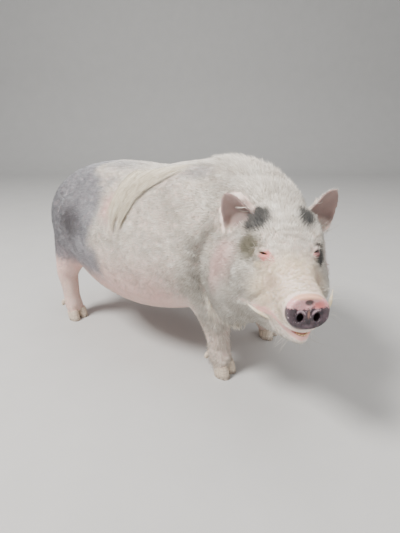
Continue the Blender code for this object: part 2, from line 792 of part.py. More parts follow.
def make_face(nodes):
    """Eyes between their lids, nostrils, the open lips, teeth, tusks and ears."""
    head, jaw = nodes["head"], nodes["lower_jaw"]
    skin_tree = BVHTree.FromObject(head, bpy.context.evaluated_depsgraph_get())
    for side, sign in SIDES.items():
        socket = socket_frame(skin_tree, (0.0, sign * EYE_SPREAD, 0.0))
        centre = (0.0015 - EYE_RADIUS, 0, 0)
        lids = [
            roll_of_skin(
                f"lid_{name}",
                [
                    (-0.004, -LID_HALF_LENGTH, -0.001),
                    (0.0005, -LID_HALF_LENGTH / 2, rise * 0.75),
                    (0.0020, 0, rise),
                    (0.0005, LID_HALF_LENGTH / 2, rise * 0.75),
                    (-0.004, LID_HALF_LENGTH, -0.001),
                ],
                thickness,
                socket,
            )
            for name, rise, thickness in (("upper", 0.0072, 0.0042), ("lower", -0.0072, 0.0038))
        ]
        fuse_into(head, lids, f"lids_{side}")
        eye = blob(f"eye_{side}", centre, (EYE_RADIUS,) * 3, frame=socket, sides=10)
        slit = blob("slit", (0.004, 0, 0), (0.009, LID_HALF_LENGTH * 0.72, 0.0036), frame=socket, sides=16)
        cut_away(head, slit, grown(eye))
        nodes[f"eye_{side}"] = finish(eye, EYE)
    cut_away(jaw, box("gape", (0, -0.1, 0), (0.1, 0.1, 0.05), gape_frame()))
    for side, sign in SIDES.items():
        stations = [Station(*row) for row in TUSKS[side]]
        tusk = loft(f"tusk_{side}", stations, HEAD, sides=8, rings=9, cap=0.3, square=2)
        cut_away(head, grown(tusk))
        cut_away(jaw, grown(tusk))
        nodes[f"tusk_{side}"] = finish(tusk, IVORY)
        base, tip, facing = EARS[side]
        nodes[f"ear_{side}"] = clear(ear(f"ear_{side}", base, tip, facing), head)


def make_teeth(nodes):
    """The front teeth of the lower jaw, small pegs on one gum, where the lips are open."""
    gum_frame = plane_frame((0.040, 0, GAP), frame=gape_frame())
    gum = box("teeth", (-0.007, -0.012, 0), (0.004, 0.012, 0.0022), gum_frame)
    pegs = []
    for x, y in ((-0.006, 0.0100), (0.001, 0.0076), (0.0045, 0.0028)):
        for place in ((x, y, 0.0015), (x, -y, 0.0015)):
            pegs.append(blob("peg", place, (0.0022, 0.0024, 0.0030), frame=gum_frame, sides=6))
    gum = fuse_into(gum, pegs, "pegs")
    under = box("under", (-0.05, -0.05, -0.02), (0.05, 0.05, 0), gum_frame)
    nodes["teeth"] = cut_away(finish(gum, IVORY), under)


def make_tail(nodes):
    """A straight tail that hangs from the rump, thinning towards its switch."""
    tail = loft(
        "tail",
        [
            Station(-0.300, 0.004, 0.405, 0.016, 0.016, 0.016),
            Station(-0.348, 0.006, 0.392, 0.014, 0.014, 0.014),
            Station(-0.375, 0.009, 0.350, 0.011, 0.011, 0.011),
            Station(-0.381, 0.012, 0.300, 0.008, 0.008, 0.008),
            Station(-0.380, 0.014, 0.262, 0.0065, 0.006, 0.006),
        ],
        sides=12,
        rings=16,
    )
    nodes["tail"] = finish(clear(tail, nodes["torso"]), SKIN)


def boxes_meet(one, other, margin=0.002):
    a, b = points_of(one.data), points_of(other.data)
    return np.all(a.min(axis=0) < b.max(axis=0) + margin) and np.all(b.min(axis=0) < a.max(axis=0) + margin)


def grow_on(nodes, owner, pieces):
    """Joins pieces to the node they grow from, once they are clear of every other node."""
    for piece in pieces:
        near = [node for name, node in nodes.items() if name != owner and boxes_meet(piece, node)]
        clear(piece, *near)
    fuse_into(nodes[owner], pieces, f"{owner}_coat")


def lie_along(skin, root, lie, length, lift, droop, rings):
    """The path of a lock that follows the skin from its sunk root to its tip, with the skin's normals.

    lie is the way it points, lift is how far its tip stands off the skin, and droop is how much
    its own weight turns it down along the way.
    """
    point, normal, _, _ = skin.find_nearest(root)
    run = math.sqrt(max(length**2 - lift**2, (0.3 * length) ** 2))
    path = []
    for i in range(rings + 1):
        share = i / rings
        height = lift * share**1.2 + LOCK_CLEAR * math.sqrt(share) - LOCK_SINK * (1 - share) ** 4
        path.append((point + normal * height, normal))
        heading = lie + Vector((0, 0, -droop * share))
        heading -= normal * heading.dot(normal)
        point, normal, _, _ = skin.find_nearest(point + heading.normalized() * run / rings)
    return path


def lock_mesh(path, width, thick=0.0035):
    """A flat tapered lock along a path: each ring is a diamond, and the last point is the tip."""
    bm = bmesh.new()
    rings = len(path) - 1
    last = None
    for i, (centre, normal) in enumerate(path[:-1]):
        ahead = (path[i + 1][0] - centre).normalized()
        across = normal.cross(ahead).normalized()
        share = i / rings
        taper = (0.4 + 0.6 * min(1, share / 0.3)) * (1 - share) ** 0.6
        side, rise = across * width / 2 * taper, ahead.cross(across) * thick / 2 * taper
        ring = [bm.verts.new(centre + offset) for offset in (side, rise, -side, -rise)]
        if last is None:
            bm.faces.new((ring[0], ring[1], ring[2]))
            bm.faces.new((ring[0], ring[2], ring[3]))
        else:
            for j in range(4):
                k = (j + 1) % 4
                bm.faces.new((last[j], last[k], ring[k]))
                bm.faces.new((last[j], ring[k], ring[j]))
        last = ring
    tip = bm.verts.new(path[-1][0])
    for j in range(4):
        bm.faces.new((last[j], last[(j + 1) % 4], tip))
    bmesh.ops.recalc_face_normals(bm, faces=bm.faces[:])
    return bm


class Coat:
    """The locks of the whole animal: each grows from the node under its root, clear of the others."""

    def __init__(self, nodes, skin):
        self.nodes = nodes
        self.skin = skin
        self.trees = {name: tree_of(node) for name, node in nodes.items()}
        self.locks = {name: [] for name in nodes}
        self.draw = random.Random(COAT_SEED)

    def vary(self, value, share=0.15):
        return value * self.draw.uniform(1 - share, 1 + share)

    def owner(self, point):
        return min(COAT_NODES, key=lambda name: self.trees[name].find_nearest(point)[3])

    def grow(self, root, lie, length, width, lift, droop=0.0, rings=3):
        """Plants one lock, shorter where it would meet another node, or none where it can't be clear."""
        at = self.skin.find_nearest(root)[0]
        name = self.owner(at)
        length, width, lift = self.vary(length), self.vary(width), self.vary(lift, 0.3)
        others = [tree for other, tree in self.trees.items() if other != name]
        others += [tree for other, made in self.locks.items() if other != name for _, tree in made]
        for share in (1, 0.75, 0.55):
            path = lie_along(self.skin, at, lie, length * share, lift * share, droop, rings)
            swollen = lock_mesh(path, width + 0.003, 0.006)
            tree = BVHTree.FromBMesh(swollen)
            swollen.free()
            if not any(tree.overlap(other) for other in others):
                self.locks[name].append((object_from("lock", lock_mesh(path, width)), tree))
                return

    def join(self):
        for name, made in self.locks.items():
            fuse_into(self.nodes[name], [piece for piece, _ in made], f"{name}_coat")


def along_spine(start, end, spacing):
    """Points above the middle line of the back and neck, each with the way the line runs."""
    length = sum(math.dist(a, b) for a, b in zip(SPINE, SPINE[1:]))
    count = round((end - start) * length / spacing)
    for i in range(count + 1):
        t = start + (end - start) * i / count
        (x0, y0), (x1, y1) = smooth_path(SPINE, [max(0, t - 0.01), min(1, t + 0.01)])
        ahead = Vector((x1 - x0, y1 - y0, 0)).normalized()
        yield t, Vector(((x0 + x1) / 2, (y0 + y1) / 2, WITHERS)), ahead


def grow_crest(coat):
    """The brush of bristles from the loins to the poll: four rows that lie back over one another."""
    for t, place, ahead in along_spine(0.02, 0.97, CREST_SPACING):
        across = Vector((-ahead.y, ahead.x, 0))
        height = 0.008 + 0.010 * math.sin(math.pi * t) ** 2
        for row in (-1.5, 0.5, -0.5, 1.5):
            stagger = CREST_SPACING * (0.5 if row in (-0.5, 1.5) else 0)
            root = place + across * row * 0.021 + ahead * (stagger + coat.draw.uniform(-0.004, 0.004))
            lie = -ahead + across * row * 0.25
            coat.grow(root, lie, 0.062, 0.022, height * (1.25 if abs(row) < 1 else 0.8))


def grow_drape(coat):
    """The long bristles that part from the crest and fall over the right flank."""
    for i in range(8):
        x = 0.110 - 0.0165 * i
        for y, length in ((-0.020, 0.185), (-0.055, 0.160)):
            root = Vector((x + coat.draw.uniform(-0.005, 0.005), y, WITHERS))
            coat.grow(root, Vector((-0.30, -1, 0)), length, 0.024, 0.015, 0.7, rings=5)


def grow_head(coat):
    """The tufts of the poll and brows, and the shaggy rim of the jowls."""
    turn = HEAD.to_3x3()
    for row, x in enumerate((-0.100, -0.078)):
        for j in range(4 - row):
            y = (j - (3 - row) / 2) * 0.021
            root = HEAD @ Vector((x, y, 0.09))
            coat.grow(root, turn @ Vector((-1, y * 10, 0.2)), 0.042, 0.019, 0.009, rings=4)
    for sign in SIDES.values():
        for j in range(3):
            root = Vector((-0.030 - 0.007 * (j % 2), sign * (0.034 + 0.009 * j), 0.050))
            coat.grow(HEAD @ root, turn @ Vector((-1, sign * (0.2 + 0.1 * j), 0.3)), 0.034, 0.014, 0.004)
        rim_y = 0.122 if sign < 0 else 0.098
        for j in range(7):
            root = Vector((-0.115 + 0.019 * j, sign * (rim_y - 0.006 * j), -0.160 - 0.006 * (j % 2)))
            coat.grow(HEAD @ root, turn @ Vector((0.7, -sign * 0.3, -0.6)), 0.042, 0.021, 0.018, 0.3)


def grow_switch(coat):
    """The brush at the end of the tail: locks that part from its tip and hang down."""
    for j in range(6):
        turn = math.radians(60 * j)
        away = Vector((math.cos(turn), math.sin(turn), 0))
        length = coat.vary(0.085)
        path = []
        for i in range(5):
            share = i / 4
            out = away * (0.003 + 0.010 * share**0.7)
            path.append((TAIL_TIP + out + Vector((0, 0, 0.008 - length * share)), away))
        coat.locks["tail"].append((object_from("lock", lock_mesh(path, 0.011)), None))


def stand_on_origin(nodes):
    """Moves the whole animal so that the middle of its box is over the origin, soles on the floor."""
    corners = np.concatenate([points_of(node.data) for node in nodes.values()])
    low, high = corners.min(axis=0), corners.max(axis=0)
    shift = Vector((-(low[0] + high[0]) / 2, -(low[1] + high[1]) / 2, -low[2]))
    for node in nodes.values():
        node.data.transform(Matrix.Translation(shift))
    return shift


nodes, skin = make_body()
make_feet(nodes)
make_face(nodes)
make_lips(nodes, skin)
make_teeth(nodes)
make_tail(nodes)
coat = Coat(nodes, skin)
grow_crest(coat)
grow_drape(coat)
grow_head(coat)
grow_switch(coat)
coat.join()
SHIFT_TO_ORIGIN = stand_on_origin(nodes)
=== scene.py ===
"""The looks of a life-size pot-bellied pig: skin, coat, face and feet, in a plain pale studio."""

import math
from collections import namedtuple

import bmesh
import bpy
import numpy as np
from mathutils import Matrix, Vector
from mathutils.bvhtree import BVHTree


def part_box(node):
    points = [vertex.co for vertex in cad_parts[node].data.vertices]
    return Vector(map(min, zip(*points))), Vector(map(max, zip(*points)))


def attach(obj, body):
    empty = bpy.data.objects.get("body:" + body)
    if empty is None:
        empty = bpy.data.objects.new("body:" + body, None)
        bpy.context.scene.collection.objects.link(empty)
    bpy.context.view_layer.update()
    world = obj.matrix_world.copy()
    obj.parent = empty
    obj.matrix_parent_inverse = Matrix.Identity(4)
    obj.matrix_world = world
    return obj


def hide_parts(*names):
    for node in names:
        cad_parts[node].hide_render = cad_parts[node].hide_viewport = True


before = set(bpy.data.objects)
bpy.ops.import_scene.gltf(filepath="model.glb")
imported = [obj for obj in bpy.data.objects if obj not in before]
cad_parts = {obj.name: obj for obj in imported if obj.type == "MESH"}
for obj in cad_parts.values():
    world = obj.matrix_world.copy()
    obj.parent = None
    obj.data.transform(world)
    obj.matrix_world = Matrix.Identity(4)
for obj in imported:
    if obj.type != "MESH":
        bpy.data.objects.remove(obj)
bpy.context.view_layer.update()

# Tusks: two curved lower canine teeth of worn cream ivory, each a loft along its own curve in the
# head's frame. They stand whole in the solids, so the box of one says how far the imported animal
# lies from the pig's own axes, which are +X ahead and +Y to its left.
HEAD = (
    Matrix.Translation((0.411, -0.159, 0.3575))
    @ Matrix.Rotation(math.radians(-51), 4, "Z")
    @ Matrix.Rotation(math.radians(4), 4, "Y")
)
SIDES = {"right": -1, "left": 1}
TUSKS = {
    "right": [
        (0.050, -0.024, -0.116, 0.0046, 0.0044, 0.0044, -60),
        (0.047, -0.044, -0.107, 0.0046, 0.0040, 0.0040, -60),
        (0.040, -0.064, -0.098, 0.0036, 0.0031, 0.0031, -60),
        (0.029, -0.080, -0.088, 0.0013, 0.0011, 0.0011, -60),
    ],
    "left": [
        (0.070, 0.030, -0.108, 0.0060, 0.0055, 0.0055, 60),
        (0.072, 0.047, -0.094, 0.0055, 0.0045, 0.0045, 60),
        (0.068, 0.061, -0.072, 0.0045, 0.0038, 0.0038, 60),
        (0.060, 0.067, -0.047, 0.0015, 0.0013, 0.0013, 60),
    ],
}
Station = namedtuple("Station", "x y z half_width up down yaw", defaults=(0.0,))


def object_from(name, bm):
    if bm.calc_volume(signed=True) < 0:
        bmesh.ops.reverse_faces(bm, faces=bm.faces[:])
    mesh = bpy.data.meshes.new(name)
    bm.to_mesh(mesh)
    bm.free()
    obj = bpy.data.objects.new(name, mesh)
    bpy.context.scene.collection.objects.link(obj)
    return obj


def smooth_path(rows, t):
    """A Catmull-Rom curve through rows of equal length, with t from 0 to 1 along them."""
    rows = np.array(rows, float)
    last = len(rows) - 1
    x = np.clip(np.asarray(t, float) * last, 0, last)
    i = np.minimum(x.astype(int), last - 1)
    f = (x - i)[:, None]
    before, start = rows[np.maximum(i - 1, 0)], rows[i]
    end, after = rows[i + 1], rows[np.minimum(i + 2, last)]
    return 0.5 * (
        2 * start
        + (end - before) * f
        + (2 * before - 5 * start + 4 * end - after) * f**2
        + (3 * start - before - 3 * end + after) * f**3
    )


def loft(name, stations, place=None, sides=32, rings=40, cap=0.10, square=2.2):
    """A closed body along stations: a sphere whose rings take each station's superellipse."""
    bm = bmesh.new()
    bmesh.ops.create_uvsphere(bm, u_segments=sides, v_segments=rings, radius=1.0)
    unit = np.array([v.co[:] for v in bm.verts])
    t = (1 - unit[:, 2]) / 2
    turn = np.arctan2(unit[:, 1], unit[:, 0])
    at = smooth_path(stations, t)
    step = 1e-3
    tangent = (
        smooth_path(stations, np.clip(t + step, 0, 1))[:, :3]
        - smooth_path(stations, np.clip(t - step, 0, 1))[:, :3]
    )
    tangent /= np.linalg.norm(tangent, axis=1)[:, None]
    yaw = np.radians(at[:, 6])
    lateral = np.stack([-np.sin(yaw), np.cos(yaw), np.zeros_like(yaw)], axis=1)
    lateral -= tangent * np.sum(lateral * tangent, axis=1)[:, None]
    lateral /= np.linalg.norm(lateral, axis=1)[:, None]
    up = np.cross(tangent, lateral)
    from_end = np.minimum(1, np.minimum(t, 1 - t) / cap)
    closing = np.sqrt(np.maximum(0, 1 - (1 - from_end) ** 2))
    c, s = np.cos(turn), np.sin(turn)
    reach = closing * (np.abs(c) ** square + np.abs(s) ** square) ** (-1 / square)
    high = np.where(s > 0, at[:, 4], at[:, 5])
    spot = at[:, :3] + lateral * (at[:, 3] * c * reach)[:, None] + up * (high * s * reach)[:, None]
    for vert, co in zip(bm.verts, spot):
        vert.co = co
    if place is not None:
        bm.transform(place)
    return object_from(name, bm)


def points_of(mesh):
    co = np.empty(len(mesh.vertices) * 3)
    mesh.vertices.foreach_get("co", co)
    return co.reshape(-1, 3)


def discard(obj):
    mesh = obj.data
    bpy.data.objects.remove(obj)
    bpy.data.meshes.remove(mesh)


def make_tusk(side, **detail):
    stations = [Station(*row) for row in TUSKS[side]]
    return loft(f"ivory_tusk_{side}", stations, HEAD, cap=0.3, square=2, **detail)


coarse_tusk = make_tusk("right", sides=8, rings=9)
STAND = Vector(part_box("tusk_right")[0]) - Vector(points_of(coarse_tusk.data).min(axis=0))
BODY = Matrix.Translation(STAND)
discard(coarse_tusk)


class Wire:
    """A node's output; arithmetic on it adds Math nodes."""

    def __init__(self, graph, socket):
        self.graph = graph
        self.socket = socket

    def math(self, operation, *others):
        values = dict(enumerate([self, *others]))
        return self.graph.add("ShaderNodeMath", {"operation": operation}, values)

    def swapped(self, operation, other):
        return self.graph.add("ShaderNodeMath", {"operation": operation}, {0: other, 1: self})

    def __add__(self, other):
        return self.math("ADD", other)

    def __sub__(self, other):
        return self.math("SUBTRACT", other)

    def __rsub__(self, other):
        return self.swapped("SUBTRACT", other)

    def __mul__(self, other):
        return self.math("MULTIPLY", other)

    def __pow__(self, other):
        return self.math("POWER", other)

    __radd__ = __add__
    __rmul__ = __mul__

    def most(self, other):
        return self.math("MAXIMUM", other)

    def of(self, output):
        """Another output of the same node."""
        return Wire(self.graph, self.graph.find(self.socket.node.outputs, output))

    def ramp(self, start, end, low=0.0, high=1.0):
        """A smooth step from low at start to high at end."""
        places = {"Value": self, "From Min": start, "From Max": end, "To Min": low, "To Max": high}
        return self.graph.add("ShaderNodeMapRange", {"interpolation_type": "SMOOTHSTEP"}, places)


class Graph:
    """A node tree, to which add puts any node with its settings and its sockets' values or links."""

    def __init__(self, tree):
        self.tree = tree
        self.tree.nodes.clear()

    def find(self, sockets, key):
        if isinstance(key, int):
            return sockets[key]
        return next(socket for socket in sockets if socket.name == key and socket.enabled)

    def add(self, kind, settings=None, inputs=None, out=0):
        node = self.tree.nodes.new(kind)
        for name, value in (settings or {}).items():
            setattr(node, name, value)
        for key, value in (inputs or {}).items():
            socket = self.find(node.inputs, key)
            if isinstance(value, Wire):
                self.tree.links.new(value.socket, socket)
            else:
                socket.default_value = value
        if not node.outputs:
            return None
        if isinstance(out, int):
            enabled = [socket for socket in node.outputs if socket.enabled]
            return Wire(self, enabled[out])
        return Wire(self, self.find(node.outputs, out))

    def mix(self, factor, a, b):
        a = (*a, 1) if isinstance(a, tuple) else a
        b = (*b, 1) if isinstance(b, tuple) else b
        return self.add("ShaderNodeMix", {"data_type": "RGBA"}, {"Factor": factor, "A": a, "B": b})

    def vector(self, operation, a, b):
        return self.add("ShaderNodeVectorMath", {"operation": operation}, {0: a, 1: b})

    def noise(self, place, scale, detail=2.0, roughness=0.5, stretch=None):
        if stretch is not None:
            place = self.vector("MULTIPLY", place, stretch)
        sizes = {"Vector": place, "Scale": scale, "Detail": detail, "Roughness": roughness}
        return self.add("ShaderNodeTexNoise", None, sizes)

    def inside(self, place, matrix):
        """Coordinates in the frame that the matrix gives."""
        where = {"Vector": place, "Location": matrix.translation, "Rotation": matrix.to_euler()}
        return self.add("ShaderNodeMapping", {"vector_type": "TEXTURE"}, where)

    def spot(self, place, centre, radii, edge=0.6):
        """1 in the middle of an ellipsoid, falling to 0 at its surface."""
        away = self.vector("DIVIDE", self.vector("SUBTRACT", place, centre), radii)
        length = self.add("ShaderNodeVectorMath", {"operation": "LENGTH"}, {0: away}, out="Value")
        return length.ramp(1.0, 1.0 - edge)


def new_material(name):
    """A material, its graph and the Object coordinates in it."""
    made = bpy.data.materials.new(name)
    made.use_nodes = True
    graph = Graph(made.node_tree)
    return made, graph, graph.add("ShaderNodeTexCoord", out="Object")


def surface(graph, height, distance, strength, inputs):
    """The Principled shader of a material, with a height that feeds its normal."""
    heights = {"Height": height, "Distance": distance, "Strength": strength}
    normal = graph.add("ShaderNodeBump", None, heights)
    shader = graph.add("ShaderNodeBsdfPrincipled", None, {**inputs, "Normal": normal})
    graph.add("ShaderNodeOutputMaterial", None, {"Surface": shader})


def settle(obj, material, slot, *nodes):
    """Gives a piece its material, moves it from the pig's own axes to its place, and enters it."""
    obj.data.materials.clear()
    obj.data.materials.append(material)
    obj.data.transform(BODY)
    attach(obj, "root")
    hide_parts(*nodes)


def shade_smooth(obj, sharp=60):
    mesh = obj.data
    mesh.polygons.foreach_set("use_smooth", np.ones(len(mesh.polygons), bool))
    mesh.set_sharp_from_angle(angle=math.radians(sharp))


ivory, graph, at = new_material("worn_ivory")
at = graph.inside(at, BODY @ HEAD)
bands = graph.noise(at, 260.0, 3.0, 0.55, (1.0, 1.0, 3.0))
stain = graph.noise(at, 70.0, 4.0, 0.65)
cracks = graph.noise(at, 700.0, 2.0, 0.7, (0.2, 0.2, 1.0))
colour = graph.mix(stain.ramp(0.35, 0.65), (0.86, 0.80, 0.66), (0.72, 0.60, 0.40))
colour = graph.mix(bands.ramp(0.55, 0.70) * 0.35, colour, (0.55, 0.42, 0.25))
worn = {
    "Base Color": colour,
    "Roughness": 0.28 + stain * 0.25,
    "Subsurface Weight": 0.08,
    "Subsurface Scale": 0.002,
}
surface(graph, bands * 0.6 + cracks * 0.4, 0.0004, 0.5, worn)
for side in SIDES:
    tusk = make_tusk(side, sides=24, rings=40)
    shade_smooth(tusk)
    settle(tusk, ivory, "ivory", f"tusk_{side}")

# Flesh: one skin over trunk, neck, head, legs, feet, ears and tail, so that no seam shows. It is
# fused from the same lofted forms as the solids, rounded where they meet, and drawn in by the
# depth of the coat that lies on it.
WITHERS = 0.505
TRUNK_LENGTH = 0.690
BARREL = 0.214
LEG_SPREAD = 0.112
CHEST_X = 0.350
RUMP_X = CHEST_X - TRUNK_LENGTH
FORE_FOOT_X = 0.242
HIND_FOOT_X = -0.289
STEP_FORE = 0.015
STEP_HIND = -0.012
SNOUT_X = 0.128
SNOUT_Z = -0.056
TOE_SPREAD = 0.0142
TOE_SPLAY = 7


def blob(name, centre, radii, pitch=0, yaw=0, place=None, sides=24):
    """An ellipsoid: a sphere stretched to radii, turned by pitch about Y and yaw about Z."""
    bm = bmesh.new()
    bmesh.ops.create_uvsphere(bm, u_segments=sides, v_segments=sides * 2 // 3, radius=1.0)
    bm.transform(
        (place or Matrix())
        @ Matrix.Translation(centre)
        @ Matrix.Rotation(math.radians(yaw), 4, "Z")
        @ Matrix.Rotation(math.radians(pitch), 4, "Y")
        @ Matrix.Diagonal((*radii, 1))
    )
    return object_from(name, bm)


def trunk_station(along, top, belly, widest, width):
    z = widest * WITHERS
    x = RUMP_X + along * TRUNK_LENGTH
    return Station(x, 0, z, width * BARREL, top * WITHERS - z, z - belly * WITHERS)


TRUNK = [
    trunk_station(0.00, 0.866, 0.535, 0.712, 0.47),
    trunk_station(0.06, 0.926, 0.420, 0.683, 0.68),
    trunk_station(0.19, 0.956, 0.312, 0.634, 0.82),
    trunk_station(0.34, 0.954, 0.214, 0.594, 0.94),
    trunk_station(0.51, 0.950, 0.190, 0.554, 1.00),
    trunk_station(0.68, 0.984, 0.250, 0.574, 0.93),
    trunk_station(0.82, 1.000, 0.320, 0.614, 0.79),
    trunk_station(0.93, 0.960, 0.376, 0.644, 0.65),
    trunk_station(1.00, 0.871, 0.436, 0.653, 0.51),
]
NECK = [
    Station(0.10, 0.000, 0.335, 0.150, 0.162, 0.170, 0),
    Station(0.20, -0.005, 0.335, 0.152, 0.170, 0.155, -10),
    Station(0.27, -0.033, 0.335, 0.132, 0.162, 0.140, -30),
    Station(0.315, -0.075, 0.337, 0.110, 0.142, 0.126, -45),
    Station(0.345, -0.11, 0.334, 0.092, 0.112, 0.112, -50),
]
SKULL = [
    Station(-0.130, 0, -0.030, 0.086, 0.098, 0.110),
    Station(-0.080, 0, -0.025, 0.095, 0.100, 0.120),
    Station(-0.040, 0, -0.025, 0.085, 0.080, 0.120),
    Station(0.000, 0, -0.035, 0.064, 0.052, 0.100),
    Station(0.040, 0, -0.045, 0.049, 0.038, 0.075),
    Station(0.080, 0, -0.054, 0.042, 0.032, 0.050),
    Station(0.106, 0, SNOUT_Z, 0.0385, 0.0315, 0.035),
    Station(SNOUT_X, 0, SNOUT_Z, 0.038, 0.031, 0.032),
]
JAW = [
    Station(-0.070, 0, -0.118, 0.085, 0.050, 0.052),
    Station(0.000, 0, -0.122, 0.063, 0.044, 0.044),
    Station(0.045, 0, -0.118, 0.043, 0.036, 0.036),
    Station(0.085, 0, -0.114, 0.024, 0.025, 0.024),
    Station(0.117, 0, -0.115, 0.010, 0.013, 0.013),
]


def foot_x(foot, side):
    x, step = {"fore": (FORE_FOOT_X, STEP_FORE), "hind": (HIND_FOOT_X, STEP_HIND)}[foot]
    return x + (step if side == "left" else 0)


def hoof_stations(x, y, splay, widen=0.0):
    """The path of one toe from the fetlock down past the sole, and forward as it goes."""
    return [
        Station(x - 0.002, y, 0.060, 0.013 + widen, 0.014 + widen, 0.016 + widen, splay),
        Station(x + 0.005, y, 0.036, 0.013 + widen, 0.016 + widen, 0.017 + widen, splay),
        Station(x + 0.010, y, 0.018, 0.0130 + widen, 0.019 + widen, 0.018 + widen, splay),
        Station(x + 0.015, y, -0.008, 0.0122 + widen, 0.020 + widen, 0.019 + widen, splay),
    ]


forms = [
    loft("trunk", TRUNK, square=2.15, sides=48, rings=48),
    loft("neck", NECK, cap=0.15, sides=40),
    loft("skull", SKULL, HEAD, cap=0.05),
    loft("jaw", JAW, HEAD, cap=0.08),
    blob("upper_lip", (0.096, 0, -0.085), (0.026, 0.031, 0.013), 5, place=HEAD),
    blob("jowl_right", (-0.074, -0.078, -0.092), (0.080, 0.060, 0.102), place=HEAD),
    blob("jowl_left", (-0.085, 0.062, -0.100), (0.075, 0.050, 0.080), place=HEAD),
]
for side, sign in SIDES.items():
    y = LEG_SPREAD * sign
    fore, hind = foot_x("fore", side), foot_x("hind", side)
    FORE_LEG = [
        Station(fore - 0.097, y, 0.36, 0.055, 0.110, 0.100),
        Station(fore - 0.062, y, 0.26, 0.055, 0.080, 0.082),
        Station(fore - 0.032, y, 0.19, 0.046, 0.055, 0.058),
        Station(fore - 0.019, y, 0.15, 0.036, 0.041, 0.043),
        Station(fore - 0.009, y, 0.105, 0.028, 0.031, 0.032),
        Station(fore - 0.005, y, 0.07, 0.0255, 0.028, 0.028),
        Station(fore, y, 0.045, 0.0265, 0.028, 0.028),
        Station(fore + 0.004, y, 0.03, 0.0245, 0.023, 0.023),
    ]
    HIND_LEG = [
        Station(hind + 0.044, y * 0.9, 0.36, 0.050, 0.075, 0.070),
        Station(hind + 0.028, y * 0.95, 0.27, 0.052, 0.070, 0.060),
        Station(hind + 0.008, y, 0.20, 0.042, 0.052, 0.046),
        Station(hind - 0.010, y, 0.15, 0.031, 0.036, 0.035),
        Station(hind - 0.006, y, 0.105, 0.0255, 0.029, 0.029),
        Station(hind - 0.004, y, 0.07, 0.024, 0.027, 0.027),
        Station(hind, y, 0.045, 0.0255, 0.027, 0.027),
        Station(hind + 0.004, y, 0.03, 0.024, 0.0225, 0.0225),
    ]
    forms += [
        loft("fore_leg", FORE_LEG, cap=0.06, sides=24),
        loft("hind_leg", HIND_LEG, cap=0.06, sides=24),
        blob("shoulder", (0.15, sign * 0.115, 0.33), (0.12, 0.070, 0.14)),
        blob("ham", (-0.232, sign * 0.095, 0.312), (0.088, 0.074, 0.118)),
        blob("brow", (-0.040, sign * 0.047, 0.025), (0.040, 0.028, 0.024), 20, sign * 20, HEAD),
        blob("cheek", (-0.005, sign * 0.048, -0.078), (0.066, 0.038, 0.054), 15, sign * -18, HEAD),
        blob("lip", (0.062, sign * 0.023, -0.085), (0.052, 0.021, 0.020), 8, sign * -12, HEAD),
    ]
    for x in (fore, hind):
        for lean in (-1, 1):
            toe = hoof_stations(x, y + lean * TOE_SPREAD, lean * TOE_SPLAY)
            forms.append(loft("toe", toe, cap=0.05, sides=16))


def fuse(name, pieces, voxel):
    """Fuses overlapping closed forms in one skin by a voxel remesh."""
    bm = bmesh.new()
    for piece in pieces:
        bm.from_mesh(piece.data)
        discard(piece)
    whole = object_from(name, bm)
    remesh = whole.modifiers.new("Remesh", "REMESH")
    remesh.mode = "VOXEL"
    remesh.voxel_size = voxel
    return bake(whole)


def bake(obj):
    """Puts the result of the modifiers in the object's own mesh."""
    graph = bpy.context.evaluated_depsgraph_get()
    old = obj.data
    obj.data = bpy.data.meshes.new_from_object(obj.evaluated_get(graph))
    obj.modifiers.clear()
    bpy.data.meshes.remove(old)
    return obj


def points_in(place, points):
    """Points in the coordinates of the frame at a place."""
    inverse = np.array(place.inverted())
    return points @ inverse[:3, :3].T + inverse[:3, 3]


def to_head(points):
    return points_in(HEAD, points)


def ramp(value, start, end):
    """A smooth step from 0 at start to 1 at end."""
    t = np.clip((value - start) / (end - start), 0, 1)
    return t * t * (3 - 2 * t)


def soften(obj, rounds, weight_of):
    """Rounds creases: each point moves towards its neighbours' mean by its own weight."""
    mesh = obj.data
    co = points_of(mesh)
    ends = np.empty(len(mesh.edges) * 2, int)
    mesh.edges.foreach_get("vertices", ends)
    a, b = ends.reshape(-1, 2).T
    count = np.bincount(ends, minlength=len(co))[:, None]
    weight = weight_of(co)[:, None]
    size = len(co)
    for _ in range(rounds):
        sums = [np.bincount(a, row[b], size) + np.bincount(b, row[a], size) for row in co.T]
        co = co + weight * (np.stack(sums, axis=1) / count - co)
    mesh.vertices.foreach_set("co", co.ravel())
    mesh.update()
    return obj


def flesh_softness(co):
    """Fully round on the trunk, little on the legs and the muzzle."""
    weight = 0.06 + 0.44 * ramp(co[:, 2], 0.11, 0.20) ** 2
    return weight * (1 - 0.75 * ramp(to_head(co)[:, 0], 0.03, 0.09))


def normals_of(mesh):
    normal = np.empty(len(mesh.vertices) * 3)
    mesh.vertex_normals.foreach_get("vector", normal)
    return normal.reshape(-1, 3)


FLESH_VOXEL = 0.007
COAT_DEPTH = {"trunk": 0.005, "neck": 0.006, "face": 0.002, "leg": 0.0015}
skin = soften(fuse("skin", forms, FLESH_VOXEL), 16, flesh_softness)
finer = skin.modifiers.new("Subdivision", "SUBSURF")
finer.levels = finer.render_levels = 1
bake(skin)
co = points_of(skin.data)
head_co = to_head(co)
depth = COAT_DEPTH["leg"] + (COAT_DEPTH["trunk"] - COAT_DEPTH["leg"]) * ramp(co[:, 2], 0.15, 0.26)
on_neck = ramp(co[:, 0], 0.18, 0.26)
depth += (COAT_DEPTH["neck"] - COAT_DEPTH["trunk"]) * on_neck * ramp(co[:, 2], 0.26, 0.34)
on_face = ramp(head_co[:, 0], -0.11, -0.06)
depth += (COAT_DEPTH["face"] - depth) * on_face
depth *= 1 - ramp(head_co[:, 0], 0.05, 0.09)
depth *= ramp(co[:, 2], 0.03, 0.08)
skin.data.vertices.foreach_set("co", (co - normals_of(skin.data) * depth[:, None]).ravel())
skin.data.update()

